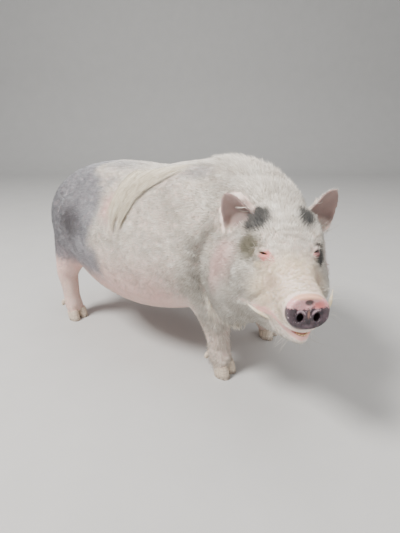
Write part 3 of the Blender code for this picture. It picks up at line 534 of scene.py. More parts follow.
# Face: the nose disc with its rolled rim, lids, lips, ears and tail are fused to the flesh, and the
# folds of old, heavy skin are pressed in along their own lines. The sockets, nostrils and the gape
# of the mouth are cut last, so that the eyes, tusks and teeth sit as deep as real ones.
EYE_SPREAD = 0.047
EYE_RADIUS = 0.0105
GLOBE_X = 0.0015 - EYE_RADIUS
LID_HALF_LENGTH = 0.0135
SNOUT_CUT_X = 0.110
SNOUT_HALF_WIDTH = 0.037
SNOUT_HALF_HEIGHT = 0.0305
SNOUT_THICK = 0.019
SNOUT_PIT_Z = 0.0186
NOSTRIL_SPREAD = 0.0142
NOSTRIL_Z = -0.0075
NOSTRIL_RADII = (0.015, 0.0056, 0.0078)
MOUTH_BACK = (0.0, 0.0, -0.087)
MOUTH_TILT = 5
MOUTH_OPENS = 9
MOUTH_OPENS_X = 0.062
LIP_ROLL = 0.0042
LIP_TURN = 118
LIP_POINTS = 41
TAIL_ROOT = (-0.318, 0.005, 0.395)
EARS = {
    "right": ((-0.070, -0.072, 0.016), (-0.093, -0.110, 0.091), (1, -0.62, 0.2)),
    "left": ((-0.074, 0.075, 0.022), (-0.090, 0.116, 0.095), (1, 0.45, 0.2)),
}
FACE_VOXEL = 0.0024


def tilted(point, pitch, place=None):
    """A frame at a point, turned by pitch about Y, in degrees."""
    turn = Matrix.Rotation(math.radians(pitch), 4, "Y")
    return (place or Matrix()) @ Matrix.Translation(point) @ turn


def tree_of(obj):
    return BVHTree.FromObject(obj, bpy.context.evaluated_depsgraph_get())


def ear(name, base, tip, facing, half_width=0.035, thick=0.0044, scroll=72, rows=40, across=30):
    """A leaf between base and tip, cupped towards facing, with its rim turned in a little."""
    base, tip, facing = Vector(base), Vector(tip), Vector(facing)
    length = (tip - base).length
    along = (tip - base) / length
    out = (facing - along * facing.dot(along)).normalized()
    side = along.cross(out)
    bm = bmesh.new()
    bmesh.ops.create_grid(bm, x_segments=across, y_segments=rows, size=1)
    for vert in bm.verts:
        u = (vert.co.y + 1) / 2
        v = vert.co.x
        width = half_width * (1 - u**2.6) ** 0.60 * (0.86 + 0.14 * math.sin(math.pi * min(1, u / 0.5)))
        curl = math.radians(scroll * (1 - u) ** 0.8 + 14)
        radius = max(width, 0.0015) / math.sin(min(curl, math.pi / 2))
        wave = 0.0008 * math.sin(9 * u + 3 * v)
        cup = radius * (math.cos(curl) - math.cos(v * curl)) + wave
        vert.co = base + along * (u * length) + side * (radius * math.sin(v * curl)) + out * cup
    bm.transform(HEAD)
    leaf = object_from(name, bm)
    wall = leaf.modifiers.new("Solidify", "SOLIDIFY")
    wall.thickness = thick
    wall.offset = 0
    return bake(leaf)


def tube(name, points, radii, place, sides=12):
    """A closed round roll along a path, with a radius at each point."""
    bm = bmesh.new()
    points = [Vector(point) for point in points]
    rings = []
    for i, point in enumerate(points):
        ahead = (points[min(i + 1, len(points) - 1)] - points[max(i - 1, 0)]).normalized()
        across = ahead.orthogonal().normalized()
        up = ahead.cross(across)
        turns = [2 * math.pi * j / sides for j in range(sides)]
        spokes = [across * math.cos(a) + up * math.sin(a) for a in turns]
        rings.append([bm.verts.new(point + spoke * radii[i]) for spoke in spokes])
    for low, high in zip(rings, rings[1:]):
        start = min(range(sides), key=lambda j: (high[j].co - low[0].co).length)
        for j in range(sides):
            k = (j + 1) % sides
            ends = (low[j], low[k], high[(k + start) % sides], high[(j + start) % sides])
            bm.faces.new(ends)
    bm.faces.new(rings[0][::-1])
    bm.faces.new(rings[-1])
    bmesh.ops.recalc_face_normals(bm, faces=bm.faces[:])
    bm.transform(place)
    return object_from(name, bm)


nose_face = tilted((SNOUT_CUT_X, 0, SNOUT_Z), -6, HEAD)
mouth = tilted(MOUTH_BACK, MOUTH_TILT, HEAD)
gape = tilted((MOUTH_OPENS_X, 0, -0.0005), MOUTH_OPENS, mouth)
TAIL = [
    Station(-0.300, 0.004, 0.405, 0.016, 0.016, 0.016),
    Station(-0.348, 0.006, 0.392, 0.014, 0.014, 0.014),
    Station(-0.375, 0.009, 0.350, 0.0105, 0.0105, 0.0105),
    Station(-0.381, 0.012, 0.300, 0.0075, 0.0075, 0.0075),
    Station(-0.380, 0.014, 0.262, 0.006, 0.0055, 0.0055),
]
wide, high = SNOUT_HALF_WIDTH, SNOUT_HALF_HEIGHT
NOSE_DISC = [
    Station(-0.010, 0, 0, wide * 0.88, high * 0.88, high * 0.88),
    Station(0.002, 0, 0, wide * 0.94, high * 0.94, high * 0.93),
    Station(0.012, 0, 0, wide * 0.99, high * 0.99, high * 0.99),
    Station(SNOUT_THICK - 0.001, 0, 0, wide * 0.92, high * 0.90, high * 0.92),
]
flesh_tree = tree_of(skin)
details = [
    skin,
    loft("disc", NOSE_DISC, nose_face, sides=64, rings=32, cap=0.16, square=2.3),
    loft("tail", TAIL, sides=20, rings=40),
]
for side in SIDES:
    details.append(ear(f"ear_{side}", *EARS[side]))

sockets = {}
for side, sign in SIDES.items():
    point, normal, _, _ = flesh_tree.find_nearest(HEAD @ Vector((0.0, sign * EYE_SPREAD, 0.0)))
    up = HEAD.to_3x3() @ Vector((0, 0, 1))
    across = up.cross(normal).normalized()
    up = normal.cross(across)
    sockets[side] = Matrix.Translation(point) @ Matrix((normal, across, up)).transposed().to_4x4()
    for rise, thickness in ((0.0066, 0.0040), (-0.0066, 0.0036)):
        path = [(-0.004, -1.0, -0.001), (0.0005, -0.5, rise * 0.75), (0.002, 0, rise)]
        path += [(0.0005, 0.5, rise * 0.75), (-0.004, 1.0, -0.001)]
        path = smooth_path([(x, y * LID_HALF_LENGTH, z) for x, y, z in path], np.linspace(0, 1, 21))
        radii = [thickness * (0.45 + 0.55 * math.sin(math.pi * i / 20)) for i in range(21)]
        details.append(tube("lid", path, radii, sockets[side]))


def mouth_outline(rise):
    """Points on the skin round the muzzle at the height of the mouth, in the mouth's frame."""
    turn = mouth.to_3x3()
    centre = Vector((0.05, 0, 0))
    points = []
    for i in range(LIP_POINTS):
        angle = math.radians(LIP_TURN * (2 * i / (LIP_POINTS - 1) - 1))
        away = Vector((math.cos(angle), math.sin(angle), 0))
        start = mouth @ (centre + away * 0.2 + Vector((0, 0, rise)))
        hit = flesh_tree.ray_cast(start, turn @ -away)[0]
        points.append(mouth.inverted() @ hit - away * 0.0016)
    return points


for rise in (LIP_ROLL, -LIP_ROLL):
    path = mouth_outline(rise)
    if rise < 0:
        for point in path:
            point.z -= max(0, point.x - MOUTH_OPENS_X) * math.tan(math.radians(MOUTH_OPENS))
            point.y *= 1 - 0.55 * float(ramp(point.x, 0.050, 0.105))
    thick = [math.sin(math.pi * i / (LIP_POINTS - 1)) ** 0.4 for i in range(LIP_POINTS)]
    radii = [LIP_ROLL * (0.3 + 0.7 * share) for share in thick]
    details.append(tube("lip_roll", path, radii, mouth))
skin = fuse("skin", details, FACE_VOXEL)


def face_softness(co):
    """A touch everywhere to hide the voxels, a little more where the ears and the tail join."""
    weight = np.full(len(co), 0.30)
    for base, _, _ in EARS.values():
        from_base = np.linalg.norm(to_head(co) - np.array(base), axis=1)
        weight += 0.35 * (1 - ramp(from_base, 0.030, 0.055))
    from_tail = np.linalg.norm(co - np.array(TAIL_ROOT), axis=1)
    weight += 0.3 * (1 - ramp(from_tail, 0.02, 0.05))
    return np.minimum(weight, 0.7)


soften(skin, 5, face_softness)


def along_path(points, path):
    """Each point's distance from a path of straight legs, and its share of the way along it."""
    best = np.full(len(points), 9.0)
    share = np.zeros(len(points))
    path = np.array(path, float)
    for i, (a, b) in enumerate(zip(path[:-1], path[1:])):
        leg = b - a
        t = np.clip((points - a) @ leg / max(leg @ leg, 1e-12), 0, 1)
        gone = np.linalg.norm(points - a - t[:, None] * leg, axis=1)
        nearer = gone < best
        best[nearer] = gone[nearer]
        share[nearer] = ((i + t) / (len(path) - 1))[nearer]
    return best, share


FOLDS = [  # depth, width, and the line of each fold on the right side of the head, in its frame
    (0.0022, 0.0035, [(0.020, 0.036, 0.004), (0.004, 0.050, 0.015), (-0.020, 0.064, 0.010)]),
    (0.0016, 0.0030, [(0.014, 0.044, 0.016), (-0.002, 0.052, 0.024), (-0.026, 0.066, 0.020)]),
    (0.0022, 0.0034, [(0.022, 0.036, -0.006), (0.008, 0.054, -0.016), (-0.016, 0.066, -0.012)]),
    (0.0018, 0.0036, [(0.026, 0.040, -0.014), (0.010, 0.060, -0.026), (-0.020, 0.074, -0.022)]),
    (0.0014, 0.0030, [(0.018, 0.052, -0.008), (0.016, 0.060, -0.026), (0.010, 0.066, -0.040)]),
    (0.0030, 0.0070, [(-0.022, 0.078, 0.000), (-0.030, 0.094, -0.036), (-0.016, 0.094, -0.084)]),
    (0.0038, 0.0070, [(0.050, 0.046, -0.036), (0.042, 0.062, -0.062), (0.026, 0.078, -0.086)]),
    (0.0026, 0.0050, [(0.094, 0.036, -0.034), (0.082, 0.044, -0.056), (0.076, 0.042, -0.078)]),
    (0.0016, 0.0036, [(0.082, 0.038, -0.030), (0.072, 0.046, -0.052), (0.064, 0.048, -0.072)]),
    (0.0022, 0.0055, [(-0.064, 0.098, 0.020), (-0.070, 0.118, -0.020), (-0.062, 0.130, -0.066)]),
    (0.0018, 0.0050, [(-0.050, 0.092, 0.016), (-0.052, 0.110, -0.026), (-0.044, 0.120, -0.070)]),
]
JOWL_EDGES = (  # where the cheek and jowl stand out in front of the neck, on the right and the left
    (
        (-0.100, -0.105, 0.020),
        (-0.128, -0.125, -0.030),
        (-0.140, -0.132, -0.090),
        (-0.120, -0.110, -0.155),
        (-0.080, -0.080, -0.190),
    ),
    (
        (-0.105, 0.100, 0.020),
        (-0.130, 0.112, -0.030),
        (-0.140, 0.110, -0.090),
        (-0.118, 0.090, -0.145),
        (-0.080, 0.060, -0.175),
    ),
)
HOLLOW = (0.052, 0.046, -0.034)  # the dip between cheek and muzzle
BRIDGE_FOLDS = [(0.097, 0.0016), (0.087, 0.0022), (0.074, 0.0016), (0.060, 0.0010)]  # x and depth


def laid_on_skin(line, count):
    """A line of the head as count points on the skin."""
    line = smooth_path(line, np.linspace(0, 1, count))
    return [head_inverse @ bare_tree.find_nearest(HEAD @ Vector(point))[0] for point in line]


def hill(distance, width):
    """1 at no distance, falling off like a bell."""
    return np.exp(-((distance / width) ** 2))


co = points_of(skin.data)
normal = normals_of(skin.data)
head_co = to_head(co)
push = np.zeros(len(co))
head_inverse = HEAD.inverted()
bare_tree = tree_of(skin)
for sign in SIDES.values():
    for depth, width, line in FOLDS:
        line = laid_on_skin([(x, sign * y, z) for x, y, z in line], 9)
        gone, share = along_path(head_co, line)
        fade = np.sin(math.pi * np.clip(share, 0.001, 0.999)) ** 0.6
        push -= depth * fade * hill(gone, width)
        push += 0.45 * depth * fade * hill(gone - 2 * width, 1.1 * width)
for line in JOWL_EDGES:
    line = laid_on_skin(line, 13)
    gone, share = along_path(head_co, line)
    nearest = smooth_path(line, share)
    behind = nearest[:, 0] - head_co[:, 0]
    fade = np.sin(math.pi * np.clip(share, 0.001, 0.999)) ** 0.5
    push -= 0.0170 * fade * hill(gone, 0.022) * ramp(behind, -0.004, 0.010)
    push += 0.0050 * fade * hill(gone, 0.016) * ramp(-behind, 0.000, 0.012)
on_top = ramp(normal @ np.array(HEAD.to_3x3() @ Vector((0, 0, 1))), 0.2, 0.7)
for at_x, depth in BRIDGE_FOLDS:
    bow = at_x - 5.0 * head_co[:, 1] ** 2
    push -= depth * on_top * hill(head_co[:, 0] - bow, 0.0028) * (head_co[:, 0] > 0.04)
for sign in SIDES.values():
    place, radii = np.array(HOLLOW), np.array((0.024, 0.016, 0.022))
    away = (head_co - place * (1, sign, 1)) / radii
    push -= 0.0050 * np.exp(-(away**2).sum(axis=1))
co = co + normal * push[:, None]

nose_co = points_in(nose_face, co)
front = ramp(nose_co[:, 0], 0.008, 0.014)
round_nose = np.hypot(nose_co[:, 1] / wide, nose_co[:, 2] / high)
dish = (1 - ramp(round_nose, 0.55, 0.92)) * 0.0040
draw = np.random.default_rng(3)
waves = draw.normal(size=(14, 3)) * 330
bumps = 0.00013 * np.sin(nose_co @ waves.T + draw.uniform(0, 6, 14)).sum(axis=1)
ridge = 0.0016 * hill(nose_co[:, 1], 0.004) * (1 - ramp(round_nose, 0.5, 0.8))
rims = np.zeros(len(co))
for sign in SIDES.values():
    across = (nose_co[:, 1] - sign * NOSTRIL_SPREAD) / NOSTRIL_RADII[1]
    around = np.hypot(across, (nose_co[:, 2] - NOSTRIL_Z) / NOSTRIL_RADII[2])
    rims += 0.0022 * hill(around - 1.35, 0.42)
ahead = np.array(nose_face.to_3x3() @ Vector((1, 0, 0)))
below = (nose_co[:, 2] - SNOUT_PIT_Z) / 0.0040
pit = 0.0030 * np.exp(-((nose_co[:, 1] / 0.0055) ** 2) - below**2)
co = co + ahead * (front * (bumps + ridge + rims - dish - pit))[:, None]
skin.data.vertices.foreach_set("co", co.ravel())
skin.data.update()


def cut_away(obj, cutter):
    """Cuts one closed mesh, which is then removed, out of obj."""
    cut = obj.modifiers.new("Cut", "BOOLEAN")
    cut.operation = "DIFFERENCE"
    cut.solver = "MANIFOLD"
    cut.object = cutter
    bake(obj)
    discard(cutter)


for side, sign in SIDES.items():
    place = sockets[side]
    opening = (0.009, LID_HALF_LENGTH * 0.70, 0.0020)
    cut_away(skin, blob("slit", (0.004, 0, 0), opening, place=place, sides=32))
    cut_away(skin, blob("socket", (GLOBE_X, 0, 0), (EYE_RADIUS + 0.0002,) * 3, place=place, sides=32))
    hole = (SNOUT_THICK - 0.004, sign * NOSTRIL_SPREAD, NOSTRIL_Z)
    cut_away(skin, blob("nostril", hole, NOSTRIL_RADII, 0, sign * 18, nose_face, 32))
mouth_shape = [
    Station(-0.004, 0, 0.0, 0.004, 0.0004, 0.0004),
    Station(0.010, 0, 0.0002, 0.015, 0.0016, 0.0010),
    Station(0.030, 0, 0.0024, 0.017, 0.0030, 0.0034),
    Station(0.060, 0, 0.0050, 0.020, 0.0050, 0.0060),
    Station(0.080, 0, 0.0060, 0.024, 0.0060, 0.0080),
]
cut_away(skin, loft("gape", mouth_shape, gape, sides=32, rings=32, cap=0.12, square=2.6))


def box(name, low, high, place=None):
    bm = bmesh.new()
    bmesh.ops.create_cube(bm, size=1.0)
    low, high = Vector(low), Vector(high)
    middle, size = (low + high) / 2, high - low
    bm.transform((place or Matrix()) @ Matrix.Translation(middle) @ Matrix.Diagonal((*size, 1)))
    return object_from(name, bm)


CORONET_Z = 0.026
CORONET_TILT = -16
IN_HOOF = 0.006  # how far the skin of a toe reaches down inside its hoof
for side, sign in SIDES.items():
    for foot in ("fore", "hind"):
        end = (foot_x(foot, side), sign * LEG_SPREAD, CORONET_Z - IN_HOOF)
        under = box("under", (-0.2, -0.07, -0.1), (0.2, 0.07, 0), tilted(end, CORONET_TILT))
        cut_away(skin, under)

thin = skin.modifiers.new("Decimate", "DECIMATE")  # thins the trunk and the legs more than the head
thin.ratio = 0.22
thin.use_collapse_triangulate = True
group = skin.vertex_groups.new(name="plain")
head_co = to_head(points_of(skin.data))
plain = (head_co[:, 0] < -0.13) | (points_of(skin.data)[:, 2] < 0.19)
group.add(np.flatnonzero(plain).tolist(), 1.0, "REPLACE")
thin.vertex_group = group.name
thin.vertex_group_factor = 0.2
bake(skin)
skin.vertex_groups.clear()
skin.data.polygons.foreach_set("use_smooth", np.ones(len(skin.data.polygons), bool))

# Skin finish: pale pink hide with grey pigment on the rump and back, dark patches at the brows and by
# the near eye, painted shade round the far eye, in the dips by the muzzle and in the nostrils, and
# painted highlights on the nose. The marks are soft spots in the pig's own frame with ragged edges,
# and the coat takes the same ones at each tuft's root. Creases, pores and the finest down are bump.


def markings(graph, place):
    """The pig's marks and painted shades at a place: masks, and the place in the body's, head's and
    nose's frames.
    """
    body = graph.inside(place, BODY)
    ragged = graph.noise(body, 42.0, 3.0, 0.6).of("Color")
    ragged = graph.vector("SUBTRACT", ragged, (0.5, 0.5, 0.5))
    loose = graph.vector("ADD", body, graph.vector("MULTIPLY", ragged, (0.03,) * 3))
    finer = graph.vector("ADD", body, graph.vector("MULTIPLY", ragged, (0.012,) * 3))
    in_head = graph.inside(finer, HEAD)
    axes = graph.add("ShaderNodeSeparateXYZ", None, {"Vector": loose})
    x, y, z = axes.of("X"), axes.of("Y"), axes.of("Z")
    right = y.ramp(0.06, -0.02)
    wander = (graph.noise(body, 12.0, 2.0, 0.5) - 0.5) * 0.12
    edge = (z - 0.415).most(0) * 1.5 + x + wander
    rump = edge.ramp(-0.048, -0.095) * right + (x + wander).ramp(-0.105, -0.215) * (1 - right)
    rump = rump * z.ramp(0.175, 0.235) * x.ramp(-0.345, -0.295, 0.55, 1.0)
    core = graph.spot(loose, (-0.180, -0.175, 0.335), (0.080, 0.080, 0.072), 0.8)
    saddle = graph.spot(loose, (-0.10, -0.03, 0.480), (0.10, 0.09, 0.035), 0.8)
    withers = graph.spot(loose, (0.160, -0.080, 0.478), (0.060, 0.060, 0.035), 0.8)
    flank = graph.spot(loose, (-0.075, -0.120, 0.445), (0.035, 0.035, 0.022), 0.8)
    grey = rump.most(saddle * 0.65).most(withers * 0.55).most(flank * 0.5)
    brow = graph.spot(in_head, (-0.048, -0.050, 0.047), (0.040, 0.038, 0.034), 0.75)
    far_brow = graph.spot(in_head, (-0.040, 0.038, 0.047), (0.042, 0.028, 0.034), 0.85)
    # painted shade round the far eye, joined below to the dark brow patches
    far_eye_shade = graph.spot(in_head, (0.000, 0.058, -0.006), (0.034, 0.020, 0.030), 0.7)
    olive = graph.spot(in_head, (-0.018, -0.067, 0.008), (0.040, 0.034, 0.036), 0.65)
    ear_spot = graph.spot(in_head, (-0.078, -0.082, 0.046), (0.026, 0.024, 0.032), 0.9)
    dark = brow.most(far_brow * 0.7).most(far_eye_shade * 0.85)
    jowl = graph.spot(in_head, (-0.055, -0.116, -0.040), (0.050, 0.050, 0.085), 0.7)
    far_jowl = graph.spot(in_head, (-0.060, 0.105, -0.040), (0.045, 0.050, 0.080), 0.7)
    eye = graph.spot(in_head, (0.010, -0.046, -0.008), (0.026, 0.022, 0.022), 0.8)
    far_lids = graph.spot(in_head, (0.006, 0.050, -0.006), (0.018, 0.014, 0.012), 0.8)
    stain = graph.spot(in_head, (0.008, -0.057, -0.018), (0.014, 0.013, 0.012), 0.9)
    # painted shade in the dip between cheek and muzzle, on both sides
    hollow = graph.spot(in_head, (HOLLOW[0], -HOLLOW[1], HOLLOW[2]), (0.030, 0.020, 0.026), 0.9)
    far_hollow = graph.spot(in_head, HOLLOW, (0.030, 0.020, 0.026), 0.9)
    ear = graph.spot(in_head, (-0.082, -0.093, 0.062), (0.034, 0.046, 0.050), 0.35)
    far_ear = graph.spot(in_head, (-0.082, 0.096, 0.062), (0.034, 0.046, 0.050), 0.35)
    muzzle = graph.spot(in_head, (0.060, -0.010, -0.045), (0.085, 0.100, 0.080), 0.6)
    patch = graph.spot(loose, (-0.022, -0.172, 0.395), (0.048, 0.060, 0.060), 0.8)
    belly = z.ramp(0.34, 0.18) * x.ramp(0.20, 0.10)
    return {
        "body": body,
        "head": in_head,
        "nose": graph.inside(body, nose_face),
        "grey": grey,
        "core": core * rump,
        "dark": dark,
        "olive": olive,
        "ear_spot": ear_spot,
        "jowl": jowl.most(far_jowl),
        "eye": eye.most(far_lids),
        "stain": stain,
        "hollow": hollow.most(far_hollow),
        "ear": ear.most(far_ear),
        "muzzle": muzzle,
        "patch": patch.most(belly * 0.8),
        "leg": z.ramp(0.20, 0.10),
        # how strongly painted shade darkens the ripples of the coat: most on the shoulder and neck
        "shoulder": x.ramp(0.02, 0.16, 0.22, 0.50),
    }


hide, graph, at = new_material("bristly_pig_hide")
marks = markings(graph, at)
blotch = graph.noise(marks["body"], 26.0, 4.0, 0.6)
colour = graph.mix(blotch.ramp(0.35, 0.65), (0.76, 0.60, 0.53), (0.84, 0.72, 0.65))
pink = marks["jowl"].most(marks["patch"]).most(marks["eye"])
colour = graph.mix(pink * 0.85, colour, (0.80, 0.48, 0.44))
inner_ear = graph.mix(blotch, (0.20, 0.145, 0.135), (0.38, 0.26, 0.235))
colour = graph.mix(marks["ear"], colour, inner_ear)
# painted shade in the dip between cheek and muzzle
colour = graph.mix(marks["hollow"] * 0.6, colour, (0.55, 0.38, 0.33))
colour = graph.mix(marks["leg"] * 0.7, colour, (0.60, 0.46, 0.40))
sore = marks["eye"].ramp(0.0, 0.45) * blotch.ramp(0.1, 0.5)
colour = graph.mix(sore, colour, (0.66, 0.25, 0.23))
colour = graph.mix(marks["stain"] * 0.55, colour, (0.62, 0.45, 0.24))
colour = graph.mix(marks["grey"] * 0.85, colour, (0.24, 0.22, 0.25))
colour = graph.mix(marks["core"] * 0.8, colour, (0.13, 0.12, 0.14))
colour = graph.mix(marks["ear_spot"] * 0.8, colour, (0.20, 0.15, 0.135))
colour = graph.mix(marks["olive"] * 0.7, colour, (0.22, 0.19, 0.14))
# dark pigment at the brows, with painted shade round the far eye in the same mask
colour = graph.mix(marks["dark"] * 0.9, colour, (0.07, 0.07, 0.075))

# The nose disc is bare: pink above with tan scurf and slate below, with painted highlights on the wet
# nostril rims, painted wet glints below them and painted shade inside the nostrils.
nose = graph.add("ShaderNodeSeparateXYZ", None, {"Vector": marks["nose"]})
out, left, up = nose.of("X"), nose.of("Y"), nose.of("Z")
on_nose = out.ramp(0.000, 0.006) * up.ramp(-0.036, -0.031)
mottle = graph.noise(marks["nose"], 75.0, 4.0, 0.65)
speck = graph.noise(marks["nose"], 310.0, 3.0, 0.7)
slate = (up + (mottle - 0.5) * 0.016 + left * left * -3.0).ramp(0.0095, 0.0055)
upper = graph.mix(speck.ramp(0.45, 0.70), (0.76, 0.36, 0.38), (0.82, 0.58, 0.57))
red = graph.spot(marks["nose"], (0.013, 0.0175, 0.0135), (0.014, 0.015, 0.012), 0.7)
upper = graph.mix(red * 0.9, upper, (0.72, 0.20, 0.19))
scurf = (up + (mottle - 0.5) * 0.006).ramp(0.0215, 0.0260)
upper = graph.mix(scurf * 0.8, upper, (0.72, 0.42, 0.26))
lower = graph.mix(mottle.ramp(0.35, 0.62), (0.028, 0.019, 0.026), (0.085, 0.055, 0.068))
# painted highlight: pale arcs over the nostrils, where their upper rims would catch the light
wing = left.math("ABSOLUTE") - NOSTRIL_SPREAD
drop = up - NOSTRIL_Z
around = (wing * wing * 2.6e4 + drop * drop * 1.5e4) ** 0.5
rim_glint = around.ramp(1.15, 1.35) * around.ramp(1.75, 1.5) * up.ramp(-0.0045, 0.0005)
lower = graph.mix(rim_glint * mottle.ramp(0.44, 0.54) * 0.65, lower, (0.48, 0.34, 0.39))
# painted wet glints: pale reflections painted in patches on the lower disc
wet = graph.noise(marks["nose"], 170.0, 3.0, 0.6).ramp(0.60, 0.66) * up.ramp(-0.020, -0.010)
lower = graph.mix(wet * 0.6, lower, (0.50, 0.40, 0.43))
groove = graph.spot(marks["nose"], (0.013, 0, -0.002), (0.010, 0.0034, 0.012), 0.8)
pit = graph.spot(marks["nose"], (0.013, 0, SNOUT_PIT_Z), (0.012, 0.0098, 0.0072), 0.5)
snout_colour = graph.mix(slate, upper, lower)
snout_colour = graph.mix(groove * 0.8, snout_colour, (0.34, 0.18, 0.14))
snout_colour = graph.mix(pit * 0.9, snout_colour, (0.055, 0.042, 0.042))
colour = graph.mix(on_nose, colour, snout_colour)
# painted shade: the insides of the nostrils are darkened nearly to black
nostril_shade = out.ramp(0.0140, 0.010) * left.math("ABSOLUTE").ramp(0.026, 0.020) * up.ramp(0.006, 0.001)
nostril_shade = nostril_shade * out.ramp(-0.012, -0.008) * up.ramp(-0.024, -0.019)
colour = graph.mix(nostril_shade, colour, (0.02, 0.012, 0.014))
in_mouth = graph.add("ShaderNodeSeparateXYZ", None, {"Vector": graph.inside(marks["body"], mouth)})
lip_line = (in_mouth.of("Z") + in_mouth.of("X").ramp(0.06, 0.12) * 0.009).math("ABSOLUTE")
lip = lip_line.ramp(0.013, 0.006) * in_mouth.of("X").ramp(0.020, 0.050) * (1 - on_nose)
colour = graph.mix(lip * 0.85, colour, (0.80, 0.44, 0.40))

pores = graph.add("ShaderNodeTexVoronoi", None, {"Vector": at, "Scale": 520.0}, out="Distance")
wrinkle = graph.noise(marks["body"], 120.0, 5.0, 0.65)
crease = graph.noise(marks["head"], 60.0, 4.0, 0.6, (1.0, 0.35, 0.35))
down = graph.noise(at, 900.0, 2.0, 0.7, (0.25, 1.0, 1.0))
height = pores * 0.25 + wrinkle * 0.8 + crease * 0.6 + down * 0.35
wet_snout = on_nose * (0.25 + mottle * 0.25)
rough = (0.62 + wrinkle * 0.15) * (1 - on_nose) + (on_nose * 0.18 + wet_snout * 0.6)
living = {
    "Base Color": colour,
    "Roughness": rough,
    "Subsurface Weight": 0.12,
    "Subsurface Scale": 0.004,
    "Specular IOR Level": 0.35,
    "Coat Weight": on_nose * 0.35,
    "Coat Roughness": 0.15,
}
surface(graph, height, 0.0012, 0.5, living)
FLESH = ["torso", "neck", "head", "snout", "lower_jaw", "ear_right", "ear_left", "tail"]
FLESH += [f"leg_{foot}_{side}" for foot in ("fore", "hind") for side in SIDES]
settle(skin, hide, "bristly_skin", *FLESH)

# Coat: bristles in small flat tufts of five, set over the whole skin and lying back along it.
# The skin carries how they grow as attributes: which way they lie, how long and how close they
# are. One scatter tree plants them, and each region of the body is a piece of its own.
co = points_of(skin.data) - np.array(STAND)
head_co = to_head(co)
normal = normals_of(skin.data)
side_of = np.sign(co[:, 1])
to_body = np.array(HEAD.to_3x3())
one = np.ones(len(co))

# Which way they lie: back and down on the sides, outwards on the back, down the rump and the legs,
# back from the snout and up over the brow on the head, and along the ears and the tail.
lie = np.stack([-one, 0.15 * side_of, -0.28 * one], axis=1)
top = ramp(normal[:, 2], 0.5, 0.95)[:, None]
lie = lie * (1 - top) + np.stack([-one, 0.5 * side_of, 0 * one], axis=1) * top
rump = (1 - ramp(co[:, 0], -0.30, -0.18))[:, None]
lie = lie * (1 - rump) + np.array([-0.35, 0.0, -1.0]) * rump
leg = (1 - ramp(co[:, 2], 0.17, 0.27))[:, None]
lie = lie * (1 - leg) + np.array([-0.25, 0.0, -1.0]) * leg
under = (1 - ramp(normal[:, 2], -0.9, -0.6))[:, None] * (co[:, 2] < 0.25)[:, None]
lie = lie * (1 - under) + np.array([-1.0, 0.0, 0.0]) * under
cheek = ramp(np.abs(head_co[:, 1]), 0.045, 0.09)
brow = ramp(head_co[:, 2], 0.02, 0.06)
chin = 1 - ramp(head_co[:, 2], -0.14, -0.11)
face_lie = np.stack(
    [
        -0.85 - 0.3 * brow,
        6.0 * head_co[:, 1] * (0.4 + 0.6 * brow),
        -0.15 - 0.55 * cheek + 0.7 * brow - 0.5 * chin,
    ],
    axis=1,
)
on_head = ramp(head_co[:, 0], -0.15, -0.10)[:, None]
lie = lie * (1 - on_head) + (face_lie @ to_body.T) * on_head
on_ear = np.zeros(len(co))
in_ear = np.zeros(len(co))
for base, tip, facing in EARS.values():
    base, tip = np.array(base), np.array(tip)
    length = np.linalg.norm(tip - base)
    along = (tip - base) / length
    gone, _ = along_path(head_co, [base + along * 0.012, tip])
    height = (head_co - base) @ along
    near = ramp(height, 0.010, 0.022) * (1 - ramp(gone, 0.040, 0.048))
    lie = lie * (1 - near[:, None]) + (along @ to_body.T) * near[:, None]
    on_ear = np.maximum(on_ear, near)
    facing = np.array(facing) / np.linalg.norm(facing)
    inward = ramp(normal @ (to_body @ facing), -0.1, 0.3)
    in_ear = np.maximum(in_ear, near * inward)
on_tail = (co[:, 0] < -0.325) & (np.abs(co[:, 1] - 0.01) < 0.025) & (co[:, 2] < 0.40)
lie[on_tail] = (-0.1, 0.0, -1.0)
sway = np.sin(co[:, 0] * 61 + co[:, 2] * 43) * 0.16 + np.sin(co[:, 2] * 97 - co[:, 1] * 71) * 0.12
lie = lie + np.cross(normal, lie) * sway[:, None]

# How far they reach: longest on the neck, shortest on the legs, the muzzle and the ears.
reach = 0.015 + 0.006 * ramp(co[:, 0], 0.16, 0.24)
reach = reach + (0.0065 - reach) * leg[:, 0]
reach = reach * (1 - 0.3 * under[:, 0])
face_reach = 0.010 + 0.008 * brow
face_reach += 0.007 * cheek * (1 - ramp(head_co[:, 2], -0.02, 0.03))
face_reach += 0.007 * chin
face_reach *= 1 - 0.42 * ramp(head_co[:, 0], 0.02, 0.08)
reach = reach + (face_reach - reach) * on_head[:, 0]
reach = reach * (1 - on_ear) + on_ear * 0.007

# How close they stand: thin on the jowls, the belly, the legs and the left side, and none in the
# ears, on the nose, at the lids and the lips and at the hooves.
fur = np.ones(len(co))
bare_jowl = np.zeros(len(co))
for y in (-0.125, 0.105):
    away = (head_co - (-0.085, y, -0.035)) / (0.040, 0.045, 0.075)
    bare_jowl += np.exp(-(away**2).sum(axis=1))
fur *= 1 - 0.55 * np.minimum(bare_jowl, 1)
fur *= 1 - 0.45 * under[:, 0]
fur *= 1 - in_ear
nose_co = points_in(nose_face, co)
fur *= 1 - ramp(nose_co[:, 0], -0.006, 0.001) * (nose_co[:, 2] > -0.036)
for place in sockets.values():
    eye_co = points_in(place, co)
    from_eye = np.hypot(eye_co[:, 1] / 0.016, eye_co[:, 2] / 0.010)
    from_eye += np.maximum(0, -eye_co[:, 0] - 0.02) * 99
    fur *= ramp(from_eye, 0.9, 1.5)
mouth_co = points_in(mouth, co)
drop = np.maximum(0, mouth_co[:, 0] - MOUTH_OPENS_X) * math.tan(math.radians(MOUTH_OPENS))
chin_bare = 0.007 * ramp(mouth_co[:, 0], 0.075, 0.100)
from_lips = np.maximum(mouth_co[:, 2], -mouth_co[:, 2] - drop - chin_bare)
